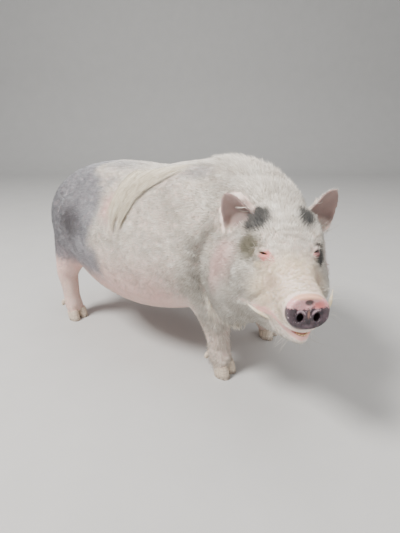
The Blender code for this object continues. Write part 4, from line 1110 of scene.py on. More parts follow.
at_lips = (1 - ramp(from_lips, 0.004, 0.008)) * (mouth_co[:, 0] > 0.0)
fur *= 1 - at_lips
fur *= ramp(co[:, 2], 0.024, 0.040)
fur *= 1 - 0.30 * leg[:, 0]
fur *= 1 - 0.28 * ramp(co[:, 1], -0.02, 0.06) * (1 - on_head[:, 0])
fur *= 1 - 0.22 * on_head[:, 0] * ramp(head_co[:, 1], -0.01, 0.03)
past_neck = ramp(head_co[:, 0], -0.126, -0.124)  # where the denser tufts of the face begin
fur *= 1 - 0.45 * past_neck * (1 - ramp(head_co[:, 0], -0.124, -0.075))

# How far they stand off the skin: most on the neck and the brow, and hardly on the legs.
lift = 0.06 + 0.09 * ramp(co[:, 0], 0.10, 0.20)
lift += 0.08 * on_head[:, 0] * (1 - ramp(head_co[:, 0], -0.06, 0.02))
lift += 0.12 * brow * on_head[:, 0]
lift -= (lift + 0.03) * leg[:, 0]

ZONES = "rump_right rump_left flank_right flank_left legs neck face_right face_left".split()
BODY_DENSITY, FACE_DENSITY = 86000.0, 180000.0  # the most tufts on a square metre of skin
zone = np.where(co[:, 1] < 0, 0, 1) + np.where(co[:, 0] > 0.02, 2, 0)
zone[co[:, 0] + 0.25 * co[:, 1] + 0.2 * (co[:, 2] - 0.34) > 0.205] = ZONES.index("neck")
zone[(co[:, 2] < 0.20) & (np.abs(co[:, 1]) >= 0.05)] = ZONES.index("legs")
in_face = (head_co[:, 0] > -0.125) & (co[:, 2] > 0.14)
zone[in_face] = ZONES.index("face_right")
zone[in_face & (head_co[:, 1] > 0)] = ZONES.index("face_left")

for name, values in (("reach", reach), ("fur", fur), ("lift", lift), ("zone", zone.astype(float))):
    skin.data.attributes.new(name, "FLOAT", "POINT").data.foreach_set("value", values)
skin.data.attributes.new("lie", "FLOAT_VECTOR", "POINT").data.foreach_set("vector", lie.ravel())
bpy.context.view_layer.objects.active = skin
skin.select_set(True)
bpy.ops.object.mode_set(mode="EDIT")
bpy.ops.mesh.select_all(action="SELECT")
bpy.ops.uv.smart_project(angle_limit=math.radians(66), island_margin=0.002)
bpy.ops.object.mode_set(mode="OBJECT")
skin.data.uv_layers[0].name = "unwrap"

BRISTLES = (  # where each bristle of a tuft starts, its turn, its length and how far its tip rises
    (0.05, -0.20, 0.88, 0.07),
    (-0.14, 0.06, 1.00, 0.13),
    (0.10, -0.04, 0.92, 0.09),
    (-0.06, -0.10, 0.97, 0.15),
    (0.02, 0.21, 0.84, 0.08),
)


def make_tuft(name, width, spread):
    """A tuft one unit long: thin tapered bristles that lie over to +X, rooted in a loose row."""
    bm = bmesh.new()
    shares = bm.loops.layers.uv.new("tuft")
    for i, (start, turn, size, rise) in enumerate(BRISTLES):
        ahead = Vector((math.cos(turn), math.sin(turn), 0))
        side = Vector((-ahead.y, ahead.x, 0))
        root = Vector((start, (i - (len(BRISTLES) - 1) / 2) * spread, -0.04))
        spokes = (side, -side, Vector((0, 0, 0.7)))
        corners = [bm.verts.new(root + spoke * width) for spoke in spokes]
        tip = bm.verts.new(root + ahead * size + Vector((0, 0, 0.04 + rise)))
        bm.faces.new(corners)
        for j in range(3):
            bm.faces.new((corners[j], corners[(j + 1) % 3], tip))
    bmesh.ops.recalc_face_normals(bm, faces=bm.faces[:])
    for face in bm.faces:
        face.smooth = True
        for loop in face.loops:
            at = loop.vert.co
            loop[shares].uv = (min(max(at.x, 0), 1), 0.5 + at.y)
    mesh = bpy.data.meshes.new(name)
    bm.to_mesh(mesh)
    bm.free()
    return bpy.data.objects.new(name, mesh)


def new_tree(name, inputs):
    """A geometry tree with named inputs, as a graph and its inputs by name."""
    tree = bpy.data.node_groups.new(name, "GeometryNodeTree")
    tree.interface.new_socket("Geometry", in_out="INPUT", socket_type="NodeSocketGeometry")
    for label, kind in inputs:
        tree.interface.new_socket(label, in_out="INPUT", socket_type=f"NodeSocket{kind}")
    tree.interface.new_socket("Geometry", in_out="OUTPUT", socket_type="NodeSocketGeometry")
    graph = Graph(tree)
    start = graph.add("NodeGroupInput")
    labels = ["Geometry", *[label for label, _ in inputs]]
    return tree, graph, {label: start.of(label) for label in labels}


def attribute(graph, name, kind):
    return graph.add("GeometryNodeInputNamedAttribute", {"data_type": kind}, {"Name": name})


def store(graph, geometry, name, kind, domain, value):
    settings = {"data_type": kind, "domain": domain}
    values = {"Geometry": geometry, "Name": name, "Value": value}
    return graph.add("GeometryNodeStoreNamedAttribute", settings, values)


def chance(graph, low, high, seed):
    """A random number for each point."""
    values = {"Min": low, "Max": high, "Seed": seed}
    return graph.add("FunctionNodeRandomValue", {"data_type": "FLOAT"}, values)


TUFT_PATCH = 0.003  # each tuft's share of the skin's unwrap
RIPPLE = (150.0, 1.0, 0.5, (0.35, 0.35, 1.0))  # the noise of the fine waves that cross the coat
# what only the trees need, and no finished piece keeps
HELPERS = "tuft root_uv reach fur lift zone lie unwrap away radius share".split()
scatter, graph, given = new_tree(
    "plant_bristles",
    [
        ("Tuft", "Object"),
        ("Zone", "Float"),
        ("Density", "Float"),
        ("Seed", "Int"),
        ("Material", "Material"),
    ],
)
in_zone = (attribute(graph, "zone", "FLOAT") - given["Zone"]).math("ABSOLUTE").math("LESS_THAN", 0.5)
points = graph.add(
    "GeometryNodeDistributePointsOnFaces",
    {"distribute_method": "POISSON"},
    {
        "Mesh": given["Geometry"],
        "Distance Min": given["Density"] ** -0.5 * 0.62,
        "Density Max": given["Density"],
        "Density Factor": attribute(graph, "fur", "FLOAT") * in_zone,
        "Seed": given["Seed"],
    },
)
upright = points.of("Normal")
where = graph.add("GeometryNodeInputPosition")
unwrapped = attribute(graph, "unwrap", "FLOAT_VECTOR")
planted = store(graph, points, "root", "FLOAT_VECTOR", "POINT", where)
planted = store(graph, planted, "root_uv", "FLOAT_VECTOR", "POINT", unwrapped)
planted = store(graph, planted, "tint", "FLOAT", "POINT", chance(graph, 0.0, 1.0, 5))
aim = graph.add("FunctionNodeAlignRotationToVector", {"axis": "Z"}, {"Vector": upright})
aim = graph.add(
    "FunctionNodeAlignRotationToVector",
    {"axis": "X", "pivot_axis": "Z"},
    {"Rotation": aim, "Vector": attribute(graph, "lie", "FLOAT_VECTOR")},
)
ripple = graph.noise(where, *RIPPLE).ramp(0.42, 0.60)
pitch = (chance(graph, 0.3, 1.5, 2) + ripple * 0.9) * attribute(graph, "lift", "FLOAT") * -1.0
turn = {"X": 0.0, "Y": pitch, "Z": chance(graph, -0.34, 0.34, 1)}
nod = graph.add("ShaderNodeCombineXYZ", None, turn)
nod = graph.add("FunctionNodeEulerToRotation", None, {"Euler": nod})
nod = {"Rotation": aim, "Rotate By": nod}
aim = graph.add("FunctionNodeRotateRotation", {"rotation_space": "LOCAL"}, nod)
size = chance(graph, 0.7, 1.25, 3) * attribute(graph, "reach", "FLOAT")
tuft = graph.add("GeometryNodeObjectInfo", None, {"Object": given["Tuft"]}, out="Geometry")
grown = graph.add(
    "GeometryNodeInstanceOnPoints",
    None,
    {"Points": planted, "Instance": tuft, "Rotation": aim, "Scale": size},
)
real = graph.add("GeometryNodeRealizeInstances", None, {"Geometry": grown})
share = graph.vector("SUBTRACT", attribute(graph, "tuft", "FLOAT_VECTOR"), (0.5, 0.5, 0.0))
share = graph.vector("MULTIPLY", share, (TUFT_PATCH, TUFT_PATCH, 0.0))
patch = graph.vector("ADD", attribute(graph, "root_uv", "FLOAT_VECTOR"), share)
real = store(graph, real, "OFBake", "FLOAT2", "CORNER", patch)
real = graph.add("GeometryNodeSetMaterial", None, {"Geometry": real, "Material": given["Material"]})
graph.add("NodeGroupOutput", None, {"Geometry": real})


def run_tree(name, source, tree, values):
    """The plain mesh that a geometry tree makes of a source object, without its helper attributes."""
    modifier = source.modifiers.new(name, "NODES")
    modifier.node_group = tree
    keys = {item.name: item.identifier for item in tree.interface.items_tree if item.in_out == "INPUT"}
    for label, value in values.items():
        modifier[keys[label]] = value
    bpy.context.view_layer.update()
    graph = bpy.context.evaluated_depsgraph_get()
    mesh = bpy.data.meshes.new_from_object(source.evaluated_get(graph))
    source.modifiers.remove(modifier)
    for label in HELPERS:
        if label in mesh.attributes:
            mesh.attributes.remove(mesh.attributes[label])
    mesh.name = name
    obj = bpy.data.objects.new(name, mesh)
    bpy.context.scene.collection.objects.link(obj)
    return obj


def enter(obj, slot, *nodes):
    """Enters a piece of the coat, which is made in its place."""
    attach(obj, "root")
    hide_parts(*nodes)


def carried(graph, name, out="Fac"):
    """A value that the mesh carries as an attribute, for a material."""
    return graph.add("ShaderNodeAttribute", {"attribute_name": name}, out=out)


bristle, graph, at = new_material("pale_bristles")
tint = carried(graph, "tint")
marks = markings(graph, carried(graph, "root", "Vector"))
strand = graph.noise(at, 700.0, 2.0, 0.6)
# painted shade: darker bands along the fine ripples of the coat, where its lifted tufts would shade it
wave = graph.noise(marks["body"], *RIPPLE)
pale = graph.mix(tint, (0.62, 0.56, 0.48), (0.97, 0.945, 0.88))
pale = graph.mix(wave.ramp(0.44, 0.60) * marks["shoulder"], pale, (0.56, 0.50, 0.44))
pale = graph.mix(marks["muzzle"] * 0.80, pale, (0.88, 0.73, 0.52))
colour = graph.mix(marks["jowl"].most(marks["patch"]) * 0.85, pale, (0.86, 0.60, 0.56))
# painted shade in the dip between cheek and muzzle, on the coat as well
colour = graph.mix(marks["hollow"] * 0.5, colour, (0.66, 0.50, 0.42))
colour = graph.mix(marks["ear"] * 0.4, colour, (0.70, 0.55, 0.50))
colour = graph.mix(marks["leg"] * 0.5, colour, (0.82, 0.70, 0.61))
silver = graph.mix(tint, (0.19, 0.195, 0.235), (0.43, 0.44, 0.49))
colour = graph.mix(marks["grey"] * 0.85, colour, silver)
colour = graph.mix(marks["core"] * 0.8, colour, (0.105, 0.095, 0.10))
colour = graph.mix(marks["stain"] * 0.5, colour, (0.74, 0.60, 0.36))
colour = graph.mix(marks["olive"] * 0.9, colour, (0.19, 0.175, 0.12))
cream = graph.mix(tint, (0.62, 0.52, 0.36), (0.94, 0.89, 0.77))
colour = graph.mix(carried(graph, "cream"), colour, cream)
# dark hair at the brows, with painted shade round the far eye in the same mask
black = marks["dark"].ramp(0.05, 0.55) * (0.80 + tint * 0.18)
colour = graph.mix(black, colour, (0.035, 0.038, 0.042))
dry = {"Base Color": colour, "Roughness": 0.50 + strand * 0.2, "Specular IOR Level": 0.18}
surface(graph, strand, 0.0004, 0.4, dry)

body_tuft = make_tuft("tuft", 0.026, 0.100)
face_tuft = make_tuft("fine_tuft", 0.032, 0.115)
for k, name in enumerate(ZONES):
    kind, density = (face_tuft, FACE_DENSITY) if "face" in name else (body_tuft, BODY_DENSITY)
    values = {"Tuft": kind, "Zone": float(k), "Density": density, "Seed": 11 + k, "Material": bristle}
    coat = run_tree(f"bristles_{name}", skin, scatter, values)
    enter(coat, "bristly_skin", *FLESH)

# Long hair: the crest, the cream strands that fall from it over the right flank, the tufts of poll
# and brows, the fringe under the jowls and the switch of the tail. Each lock is a bundle of strands
# that closes towards its tip. The strands' paths follow the skin, and one tree sweeps them.
sweep, graph, given = new_tree(
    "sweep_strands",
    [("Sides", "Int"), ("Flatness", "Float"), ("Material", "Material")],
)
curve = graph.add("GeometryNodeMeshToCurve", None, {"Mesh": given["Geometry"]})
normals = {"Curve": curve, "Normal": attribute(graph, "away", "FLOAT_VECTOR")}
curve = graph.add("GeometryNodeSetCurveNormal", {"mode": "FREE"}, normals)
circle = {"Resolution": given["Sides"], "Radius": 1.0}
ring = graph.add("GeometryNodeCurvePrimitiveCircle", {"mode": "RADIUS"}, circle)
flat = graph.add("ShaderNodeCombineXYZ", None, {"X": given["Flatness"], "Y": 1.0, "Z": 1.0})
ring = graph.add("GeometryNodeTransform", None, {"Geometry": ring, "Scale": flat})
ring = store(graph, ring, "around", "FLOAT", "POINT", graph.add("GeometryNodeSplineParameter"))
radius = attribute(graph, "radius", "FLOAT")
tapered = {"Curve": curve, "Profile Curve": ring, "Scale": radius, "Fill Caps": True}
swept = graph.add("GeometryNodeCurveToMesh", None, tapered)
inside = graph.add(
    "ShaderNodeCombineXYZ",
    None,
    {"X": attribute(graph, "share", "FLOAT") - 0.5, "Y": attribute(graph, "around", "FLOAT") - 0.5},
)
patch = graph.vector("MULTIPLY", inside, (TUFT_PATCH, TUFT_PATCH, 0.0))
patch = graph.vector("ADD", attribute(graph, "root_uv", "FLOAT_VECTOR"), patch)
swept = store(graph, swept, "OFBake", "FLOAT2", "CORNER", patch)
swept = graph.add("GeometryNodeRealizeInstances", None, {"Geometry": swept})
swept = graph.add("GeometryNodeSetMaterial", None, {"Geometry": swept, "Material": given["Material"]})
graph.add("NodeGroupOutput", None, {"Geometry": swept})

skin_tree = tree_of(skin)
skin.data.calc_loop_triangles()
unwrap = np.empty(len(skin.data.loops) * 2)
skin.data.uv_layers["unwrap"].data.foreach_get("uv", unwrap)
unwrap = unwrap.reshape(-1, 2)
draw = np.random.default_rng(29)


def unit(vectors):
    return vectors / np.maximum(np.linalg.norm(vectors, axis=-1, keepdims=True), 1e-9)


def on_skin(points):
    """The nearest points of the skin, with the skin's normals and faces there."""
    places, normals, faces, _ = zip(*[skin_tree.find_nearest(point) for point in points])
    return np.array(places), np.array(normals), faces


ROOT_DEPTH = 0.003  # how far below the skin a strand starts
CLEARANCE = 0.0016  # how far above the skin its tip stays, whatever its lift
CURL = 0.0014  # how far it swings from side to side
TIP_RADIUS = 0.00006


class Strands:
    """Paths of strands that follow the skin, gathered for one piece."""

    def __init__(self):
        self.rows = []

    def lock(
        self, roots, lies, length, lift, width, count, radius, droop=0.0, rings=4, cream=0.0, gather=0.5
    ):
        """Grows count strands round each root, given in the pig's own axes, that close at its tip."""
        roots = np.repeat(np.array(roots, float) + np.array(STAND), count, axis=0)
        lies = np.repeat(unit(np.array(lies, float)), count, axis=0)
        bundle = np.repeat(np.arange(len(roots) // count), count)
        size = np.repeat(draw.uniform(0.8, 1.15, len(roots) // count), count)
        size = size * draw.uniform(0.75, 1.1, len(roots))
        length = length * size
        lift = lift * size * draw.uniform(0.6, 1.3, len(roots))
        point, normal, _ = on_skin(roots)
        offset = draw.normal(size=(len(roots), 3)) * width / 2
        offset -= normal * (offset * normal).sum(axis=1)[:, None]
        point, normal, face = on_skin(point + offset)
        paths, aways = [], []
        for i in range(rings + 1):
            share = i / rings
            height = lift * share**1.3 + CLEARANCE * math.sqrt(share) - ROOT_DEPTH * (1 - share) ** 4
            paths.append(point + normal * height[:, None])
            aways.append(normal)
            heading = lies + np.array((0, 0, -droop * share))
            heading = unit(heading - normal * (heading * normal).sum(axis=1)[:, None])
            point, normal, _ = on_skin(point + heading * (length / rings)[:, None])
        paths = np.stack(paths, axis=1)
        centres = np.stack([paths[bundle == k].mean(axis=0) for k in range(bundle[-1] + 1)])[bundle]
        shares = np.linspace(0, 1, rings + 1)
        pull = (gather * shares**1.4)[None, :, None]
        paths = paths * (1 - pull) + centres * pull
        phase = draw.uniform(0, 6, (len(roots), 1))
        wave = CURL * np.sin(shares[None, :] * 7 + phase) * shares[None, :]
        paths += np.cross(np.stack(aways, axis=1), unit(np.gradient(paths, axis=1))) * wave[:, :, None]
        thick = radius * (1 - shares**2.5) ** 0.8 + TIP_RADIUS
        self.rows.append((paths, np.stack(aways, axis=1), thick, shares, face, cream))

    def piece(self, name, material, *nodes):
        """Sweeps all the strands into one piece."""
        keys = ("co", "away", "radius", "share", "root", "root_uv", "tint", "cream")
        columns = {key: [] for key in keys}
        edges = []
        start = 0
        for paths, aways, thick, shares, face, cream in self.rows:
            count, rings = paths.shape[:2]
            loops = [skin.data.polygons[k].loop_start for k in face]
            columns["co"].append(paths.reshape(-1, 3))
            columns["away"].append(aways.reshape(-1, 3))
            columns["radius"].append(np.tile(thick, count))
            columns["share"].append(np.tile(shares, count))
            columns["root"].append(np.repeat(paths[:, 0], rings, axis=0))
            uv = np.c_[unwrap[loops], np.zeros(count)]
            columns["root_uv"].append(np.repeat(uv, rings, axis=0))
            columns["tint"].append(np.repeat(draw.uniform(0, 1, count), rings))
            columns["cream"].append(np.full(count * rings, cream))
            first = start + np.arange(count)[:, None] * rings + np.arange(rings - 1)[None, :]
            edges.append(np.stack([first, first + 1], axis=-1).reshape(-1, 2))
            start += count * rings
        values = {key: np.concatenate(rows) for key, rows in columns.items()}
        mesh = bpy.data.meshes.new(name)
        mesh.from_pydata(values.pop("co").tolist(), np.concatenate(edges).tolist(), [])
        for key, value in values.items():
            kind, field = ("FLOAT", "value") if value.ndim == 1 else ("FLOAT_VECTOR", "vector")
            mesh.attributes.new(key, kind, "POINT").data.foreach_set(field, value.ravel())
        paths = bpy.data.objects.new("paths", mesh)
        bpy.context.scene.collection.objects.link(paths)
        obj = run_tree(name, paths, sweep, {"Sides": 3, "Flatness": 0.5, "Material": material})
        discard(paths)
        enter(obj, "bristly_skin", *nodes)


SPINE = [  # x and y of the line the crest follows, from the loins to the poll
    (-0.22, 0),
    (-0.08, 0),
    (0.06, 0),
    (0.17, -0.002),
    (0.245, -0.018),
    (0.295, -0.052),
    (0.335, -0.098),
]
CREST_LOCKS = 64  # in each of its six rows
crest = Strands()
t = np.linspace(0.02, 1.0, CREST_LOCKS)
ahead = smooth_path(SPINE, np.minimum(t + 0.01, 1)) - smooth_path(SPINE, np.maximum(t - 0.01, 0))
ahead = unit(ahead)
on_nape = ramp(t, 0.42, 0.62)
for row in (-2.5, -1.5, -0.5, 0.5, 1.5, 2.5):
    across = np.c_[-ahead[:, 1], ahead[:, 0]]
    shift = row * 0.016 + draw.uniform(-0.007, 0.007, (CREST_LOCKS, 1))
    at = smooth_path(SPINE, t) + across * shift
    at += ahead * draw.uniform(-0.008, 0.008, (CREST_LOCKS, 1))
    roots = np.c_[at, np.full(CREST_LOCKS, WITHERS)]
    lies = np.c_[-ahead + across * (row * 0.16), np.zeros(CREST_LOCKS)]
    near = 1.0 if abs(row) < 2 else 0.7
    for root, way, nape in zip(roots, lies, on_nape):
        size, rise = 0.026 + 0.016 * nape, (0.003 + 0.012 * nape) * near
        crest.lock([root], [way], size, rise, 0.014, 10, 0.0005, gather=0.45)
crest.piece("crest", bristle, *FLESH)

drape = Strands()
STREAMS = [  # from and to where each starts along the back, its length, its lean back and its locks
    (-0.035, 0.055, 0.225, 0.10, 40),
    (0.045, 0.125, 0.150, 0.48, 26),
]
for low, high_x, length, lean, count in STREAMS:
    for k in range(count):
        x = draw.uniform(low, high_x)
        root = (x, draw.uniform(-0.060, -0.004), WITHERS)
        drawn_in = 0.30 * (x - (low + high_x) / 2) / (high_x - low)
        way = (-lean - drawn_in + draw.uniform(-0.06, 0.06), -1, 0)
        size = length * draw.uniform(0.75, 1.05)
        drape.lock([root], [way], size, 0.008, 0.014, 22, 0.00055, 0.5, 10, 0.9, 0.6)
drape.piece("drape", bristle, *FLESH)


def from_head(x, y, z):
    """A point of the head in the pig's own axes."""
    return tuple(HEAD @ Vector((x, y, z)))


def head_way(x, y, z):
    """A direction of the head in the pig's own axes."""
    return tuple(HEAD.to_3x3() @ Vector((x, y, z)))


tufts = Strands()
for _ in range(90):
    x, y = draw.uniform(-0.120, -0.060), draw.uniform(-0.055, 0.055)
    way = head_way(-1, y * 10, 0.2)
    tufts.lock([from_head(x, y, 0.09)], [way], 0.032, 0.011, 0.012, 12, 0.0005)
for side, sign in SIDES.items():
    for _ in range(34):
        x, y = draw.uniform(-0.058, -0.026), sign * draw.uniform(0.030, 0.066)
        way = head_way(-1, sign * draw.uniform(0.0, 0.4), 0.35)
        tufts.lock([from_head(x, y, 0.05)], [way], 0.024, 0.009, 0.008, 12, 0.0004)
    jowl_y = {"right": 0.122, "left": 0.098}[side]
    for _ in range(36):
        share = draw.uniform(0, 1)
        x, y = -0.120 + 0.115 * share, sign * (jowl_y - 0.036 * share)
        spot = from_head(x, y, -0.165 + draw.uniform(-0.02, 0.03))
        way = head_way(-0.4, -sign * 0.2, -1.0)
        tufts.lock([spot], [way], 0.044, 0.014, 0.016, 8, 0.00035, 0.3, 6, 0.6, 0.3)
tufts.piece("head_tufts", bristle, *FLESH)

SWITCH_LOCKS = 14
switch = Strands()
for k in range(SWITCH_LOCKS):
    turn = 2 * math.pi * k / SWITCH_LOCKS
    c, s = math.cos(turn), math.sin(turn)
    root = np.array(TAIL[-1][:3]) + (0.010 * c, 0.010 * s, draw.uniform(0.0, 0.035))
    switch.lock([root], [(0.1 * c, 0.1 * s, -1)], 0.030, 0.006, 0.004, 14, 0.0007, gather=0.7)
switch.piece("tail_switch", bristle, "tail")

# Whiskers: single stiff hairs of darker and paler keratin round the muzzle, the chin, the brows and
# the cheeks. Each grows straight out of the skin, curls its own way and is swept like the long hair.
whisker, graph, at = new_material("whisker")
grain = graph.noise(at, 900.0, 2.0, 0.5)
colour = graph.mix(carried(graph, "tint"), (0.38, 0.33, 0.27), (0.85, 0.82, 0.75))
surface(graph, grain, 0.0002, 0.3, {"Base Color": colour, "Roughness": 0.35 + grain * 0.2})
WHISKER_POINTS = 9


def whiskers(strands, centres, spread, way, length, count):
    """Single hairs that leave the skin round some places of the head, each curled its own way."""
    way = np.array([head_way(*way)]) * 0.7
    for centre in centres:
        for _ in range(count):
            at = np.array(centre) + draw.normal(size=3) * spread
            root, normal, face = on_skin([np.array(from_head(*at)) + np.array(STAND)])
            out = unit(normal + way + draw.normal(size=(1, 3)) * 0.25)
            bend = np.cross(out, draw.normal(size=(1, 3)))
            size = length * draw.uniform(0.5, 1.2)
            shares = np.linspace(0, 1, WHISKER_POINTS)
            path = root[:, None] + out[:, None] * (shares * size)[None, :, None]
            path = path + bend[:, None] * (size * 0.45 * shares**2)[None, :, None]
            path = path + np.array((0, 0, -1.0)) * (size * 0.25 * shares**2)[None, :, None]
            path[:, 0] -= normal * 0.001
            away = np.repeat(unit(bend)[:, None], WHISKER_POINTS, axis=1)
            thick = 0.00026 * (1 - shares**3) + 0.00004
            strands.rows.append((path, away, thick, shares, face, 0.0))


hairs = Strands()
for sign in SIDES.values():
    near_nose = [(0.085, sign * 0.042, -0.060), (0.095, sign * 0.040, -0.080)]
    near_nose += [(0.066, sign * 0.047, -0.045)]
    under_chin = [(0.060, sign * 0.020, -0.125), (0.085, sign * 0.013, -0.125)]
    whiskers(hairs, near_nose, 0.007, (-0.3, sign, 0.3), {-1: 0.028, 1: 0.048}[sign], 7)
    whiskers(hairs, under_chin, 0.008, (0.3, sign * 0.4, -1), 0.026, 7)
    whiskers(hairs, [(0.000, sign * 0.058, 0.012)], 0.006, (0.4, sign * 0.6, 0.6), 0.026, 6)
    whiskers(hairs, [(-0.050, sign * 0.075, 0.020)], 0.012, (-0.4, sign, 0.5), 0.040, 8)
hairs.piece("whiskers", whisker, "snout", "lower_jaw", "head")

# Eyes: dark brown balls with a round pupil and a wet surface, deep between the lids. Each carries
# how far every point lies towards its front, and the iris and the pupil are drawn from that.
wet_eye, graph, at = new_material("wet_eye")
front = carried(graph, "gaze")
fibres = graph.noise(at, 1400.0, 3.0, 0.6)
iris = graph.mix(fibres, (0.055, 0.026, 0.012), (0.16, 0.085, 0.04))
colour = graph.mix(front.ramp(0.80, 0.86), (0.24, 0.15, 0.12), iris)
colour = graph.mix(front.ramp(0.955, 0.965), colour, (0.004, 0.003, 0.003))
veins = graph.noise(at, 500.0, 4.0, 0.7)
wet = {"Base Color": colour, "Roughness": 0.06 + veins * 0.06}
wet |= {"Coat Weight": 0.8, "Coat Roughness": 0.02}
surface(graph, veins, 0.0001, 0.3, wet)
for side, place in sockets.items():
    eye = blob(f"eye_ball_{side}", (GLOBE_X, 0, 0), (EYE_RADIUS,) * 3, place=place, sides=48)
    gaze = (points_in(place, points_of(eye.data))[:, 0] - GLOBE_X) / EYE_RADIUS
    eye.data.attributes.new("gaze", "FLOAT", "POINT").data.foreach_set("value", gaze)
    shade_smooth(eye)
    settle(eye, wet_eye, "eye", f"eye_{side}")

# Mouth: six small worn front teeth in a row on a pink gum, with the tongue behind them. Gum and
# tongue are wet flesh, the teeth are yellowed enamel lofts that lean forward, and all are still.
wet_mouth, graph, at = new_material("wet_mouth")
spots = graph.noise(at, 420.0, 4.0, 0.6)
colour = graph.mix(spots.ramp(0.35, 0.65), (0.62, 0.25, 0.23), (0.76, 0.40, 0.36))
wet = {"Base Color": colour, "Roughness": 0.22 + spots * 0.2}
wet |= {"Subsurface Weight": 0.15, "Subsurface Scale": 0.003}
surface(graph, spots, 0.0005, 0.5, wet)
tooth_enamel, graph, at = new_material("tooth_enamel")
tartar = graph.noise(at, 600.0, 4.0, 0.6)
colour = graph.mix(tartar.ramp(0.4, 0.65), (0.80, 0.66, 0.38), (0.58, 0.40, 0.18))
surface(graph, tartar, 0.0003, 0.4, {"Base Color": colour, "Roughness": 0.25 + tartar * 0.3})
gum_place = gape @ Matrix.Translation((0.040, 0, 0))
gum = blob("gum", (-0.006, 0, -0.0065), (0.015, 0.016, 0.0050), place=gum_place, sides=40)
shade_smooth(gum)
settle(gum, wet_mouth, "nose_skin", "teeth")
tongue = blob("tongue", (-0.024, 0, -0.0035), (0.022, 0.011, 0.0045), -6, place=gum_place, sides=40)
shade_smooth(tongue)
settle(tongue, wet_mouth, "nose_skin", "teeth")
TOOTH_PAIRS = ((0.0062, 0.0090, 0.8), (0.0098, 0.0062, 0.95), (0.0120, 0.0022, 1.0))  # x, y and size
teeth = []
for x, y, size in TOOTH_PAIRS:
    for lean in (-1, 1):
        rows = [
            Station(x - 0.001, y * lean, -0.0060, 0.0018 * size, 0.0016, 0.0016),
            Station(x, y * lean, -0.0015, 0.0021 * size, 0.0017, 0.0017),
            Station(x + 0.003, y * lean, 0.0034 * size, 0.0019 * size, 0.0008, 0.0008),
        ]
        teeth.append(loft("tooth", rows, gum_place, sides=16, rings=16, cap=0.2))
bm = bmesh.new()
for tooth in teeth:
    bm.from_mesh(tooth.data)
    discard(tooth)
front_teeth = object_from("front_teeth", bm)
shade_smooth(front_teeth)
settle(front_teeth, tooth_enamel, "ivory", "teeth")

# Feet: two hooves under each coronet and two dewclaws behind, lofts of pale horn that is ringed by
# growth, chipped and soiled below.
horn, graph, at = new_material("pale_hoof_horn")
axes = graph.add("ShaderNodeSeparateXYZ", None, {"Vector": at})
growth = graph.noise(at, 60.0, 3.0, 0.6, (0.6, 0.6, 7.0))
fibre = graph.noise(at, 420.0, 3.0, 0.6, (1.0, 1.0, 0.12))
soil = graph.noise(at, 190.0, 4.0, 0.7)
colour = graph.mix(fibre.ramp(0.35, 0.65), (0.52, 0.42, 0.33), (0.70, 0.60, 0.48))
colour = graph.mix(growth.ramp(0.50, 0.62) * 0.5, colour, (0.36, 0.28, 0.21))
soiled = axes.of("Z").ramp(0.014, 0.001) * soil.ramp(0.35, 0.6)
colour = graph.mix(soiled, colour, (0.17, 0.14, 0.12))
chipped = {"Base Color": colour, "Roughness": 0.42 + soil * 0.3}
surface(graph, growth * 0.7 + fibre * 0.5, 0.0006, 0.6, chipped)
HOOF_WALL = 0.0012  # how far the hoof stands out round the toe
for side, sign in SIDES.items():
    for foot in ("fore", "hind"):
        x, leg_y = foot_x(foot, side), sign * LEG_SPREAD
        for part, lean in (("inner", -sign), ("outer", sign)):
            name = f"{foot}_{side}_{part}"
            rows = hoof_stations(x, leg_y + lean * TOE_SPREAD, lean * TOE_SPLAY, HOOF_WALL)
            hoof = loft(f"horn_hoof_{name}", rows, cap=0.04, sides=32, rings=40)
            cut_away(hoof, box("below", (-1, -1, -1), (1, 1, 0.0002)))
            coronet = tilted((x, leg_y, CORONET_Z), CORONET_TILT)
            cut_away(hoof, box("above", (-0.2, -0.2, 0), (0.2, 0.2, 0.2), coronet))
            shade_smooth(hoof, 40)
            settle(hoof, horn, "horn", f"hoof_{name}")
            rows = [
                Station(x - 0.014, leg_y + lean * 0.010, 0.060, 0.0075, 0.0075, 0.0075),
                Station(x - 0.027, leg_y + lean * 0.015, 0.050, 0.0065, 0.0065, 0.0065),
                Station(x - 0.032, leg_y + lean * 0.017, 0.038, 0.0040, 0.0045, 0.0045),
            ]
            claw = loft(f"horn_dewclaw_{name}", rows, sides=24, rings=24)
            shade_smooth(claw)
            settle(claw, horn, "horn", f"dewclaw_{name}")

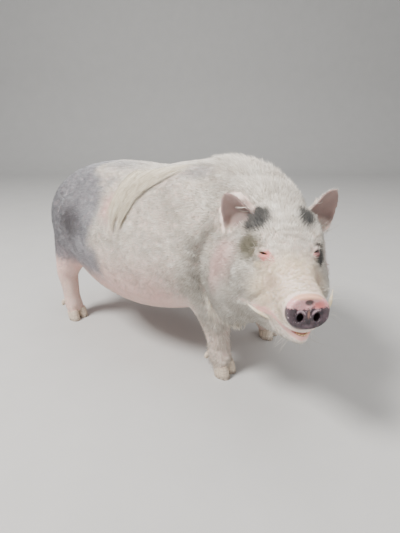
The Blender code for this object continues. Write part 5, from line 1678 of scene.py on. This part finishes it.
# Studio: a pale sheet that rises behind the animal, three soft lamps and an even sky. The camera
# stands where the photograph was taken from, turned down by 21 degrees.
sheet, graph, at = new_material("pale_floor")
grain = graph.noise(at, 9.0, 4.0, 0.6)
fine = graph.noise(at, 240.0, 3.0, 0.6)
colour = graph.mix(grain, (0.44, 0.44, 0.435), (0.49, 0.49, 0.485))
surface(graph, fine, 0.0004, 0.3, {"Base Color": colour, "Roughness": 0.75 + fine * 0.1})
LOOK = Vector((-0.548, 0.836, 0.0)).normalized()
BACK = 3.2  # the sheet starts to rise this far behind the animal
BEND = 1.0
BEND_STEPS = 12
profile = [(-5.0, 0.0), (BACK, 0.0)]
for k in range(1, BEND_STEPS + 1):
    turn = math.pi / 2 * k / BEND_STEPS
    profile.append((BACK + BEND * math.sin(turn), BEND * (1 - math.cos(turn))))
profile.append((BACK + BEND, 6.0))
bm = bmesh.new()
across = Vector((-LOOK.y, LOOK.x, 0)) * 7
rows = []
for far, up in profile:
    middle = LOOK * far + Vector((0, 0, up))
    rows.append((bm.verts.new(middle - across), bm.verts.new(middle + across)))
for below, above in zip(rows, rows[1:]):
    bm.faces.new((*below, *above[::-1]))
bmesh.ops.recalc_face_normals(bm, faces=bm.faces[:])
mesh = bpy.data.meshes.new("floor")
bm.to_mesh(mesh)
bm.free()
floor = bpy.data.objects.new("floor", mesh)
bpy.context.scene.collection.objects.link(floor)
shade_smooth(floor)
mesh.materials.append(sheet)

world = bpy.data.worlds.new("even_sky")
bpy.context.scene.world = world
world.use_nodes = True
sky = world.node_tree.nodes["Background"].inputs
sky["Color"].default_value = (0.97, 0.98, 1.0, 1)
sky["Strength"].default_value = 0.48
LAMPS = {  # the place, size and power of each lamp, all of which face the animal
    "key": ((-0.9, -1.7, 2.8), 0.9, 215),
    "fill": ((2.6, -0.8, 1.4), 2.0, 24),
    "top": ((0.2, 0.8, 2.8), 2.2, 45),
}
for name, (place, size, power) in LAMPS.items():
    lamp = bpy.data.lights.new(name, "AREA")
    lamp.size = size
    lamp.energy = power
    lamp.color = (1.0, 0.965, 0.92)
    holder = bpy.data.objects.new(name, lamp)
    bpy.context.scene.collection.objects.link(holder)
    holder.location = place
    towards = Vector((0, 0, 0.25)) - Vector(place)
    holder.rotation_euler = towards.to_track_quat("-Z", "Y").to_euler()

PITCH = math.radians(21)
camera = bpy.data.cameras.new("camera")
camera.sensor_width = 36
camera.sensor_fit = "AUTO"
camera.lens = 36 * 400 / 533
holder = bpy.data.objects.new("camera", camera)
bpy.context.scene.collection.objects.link(holder)
holder.location = Vector((0.65775, -0.83765625, 0.600)) + STAND
look = LOOK * math.cos(PITCH) - Vector((0, 0, math.sin(PITCH)))
holder.rotation_euler = look.to_track_quat("-Z", "Y").to_euler()
bpy.context.scene.camera = holder
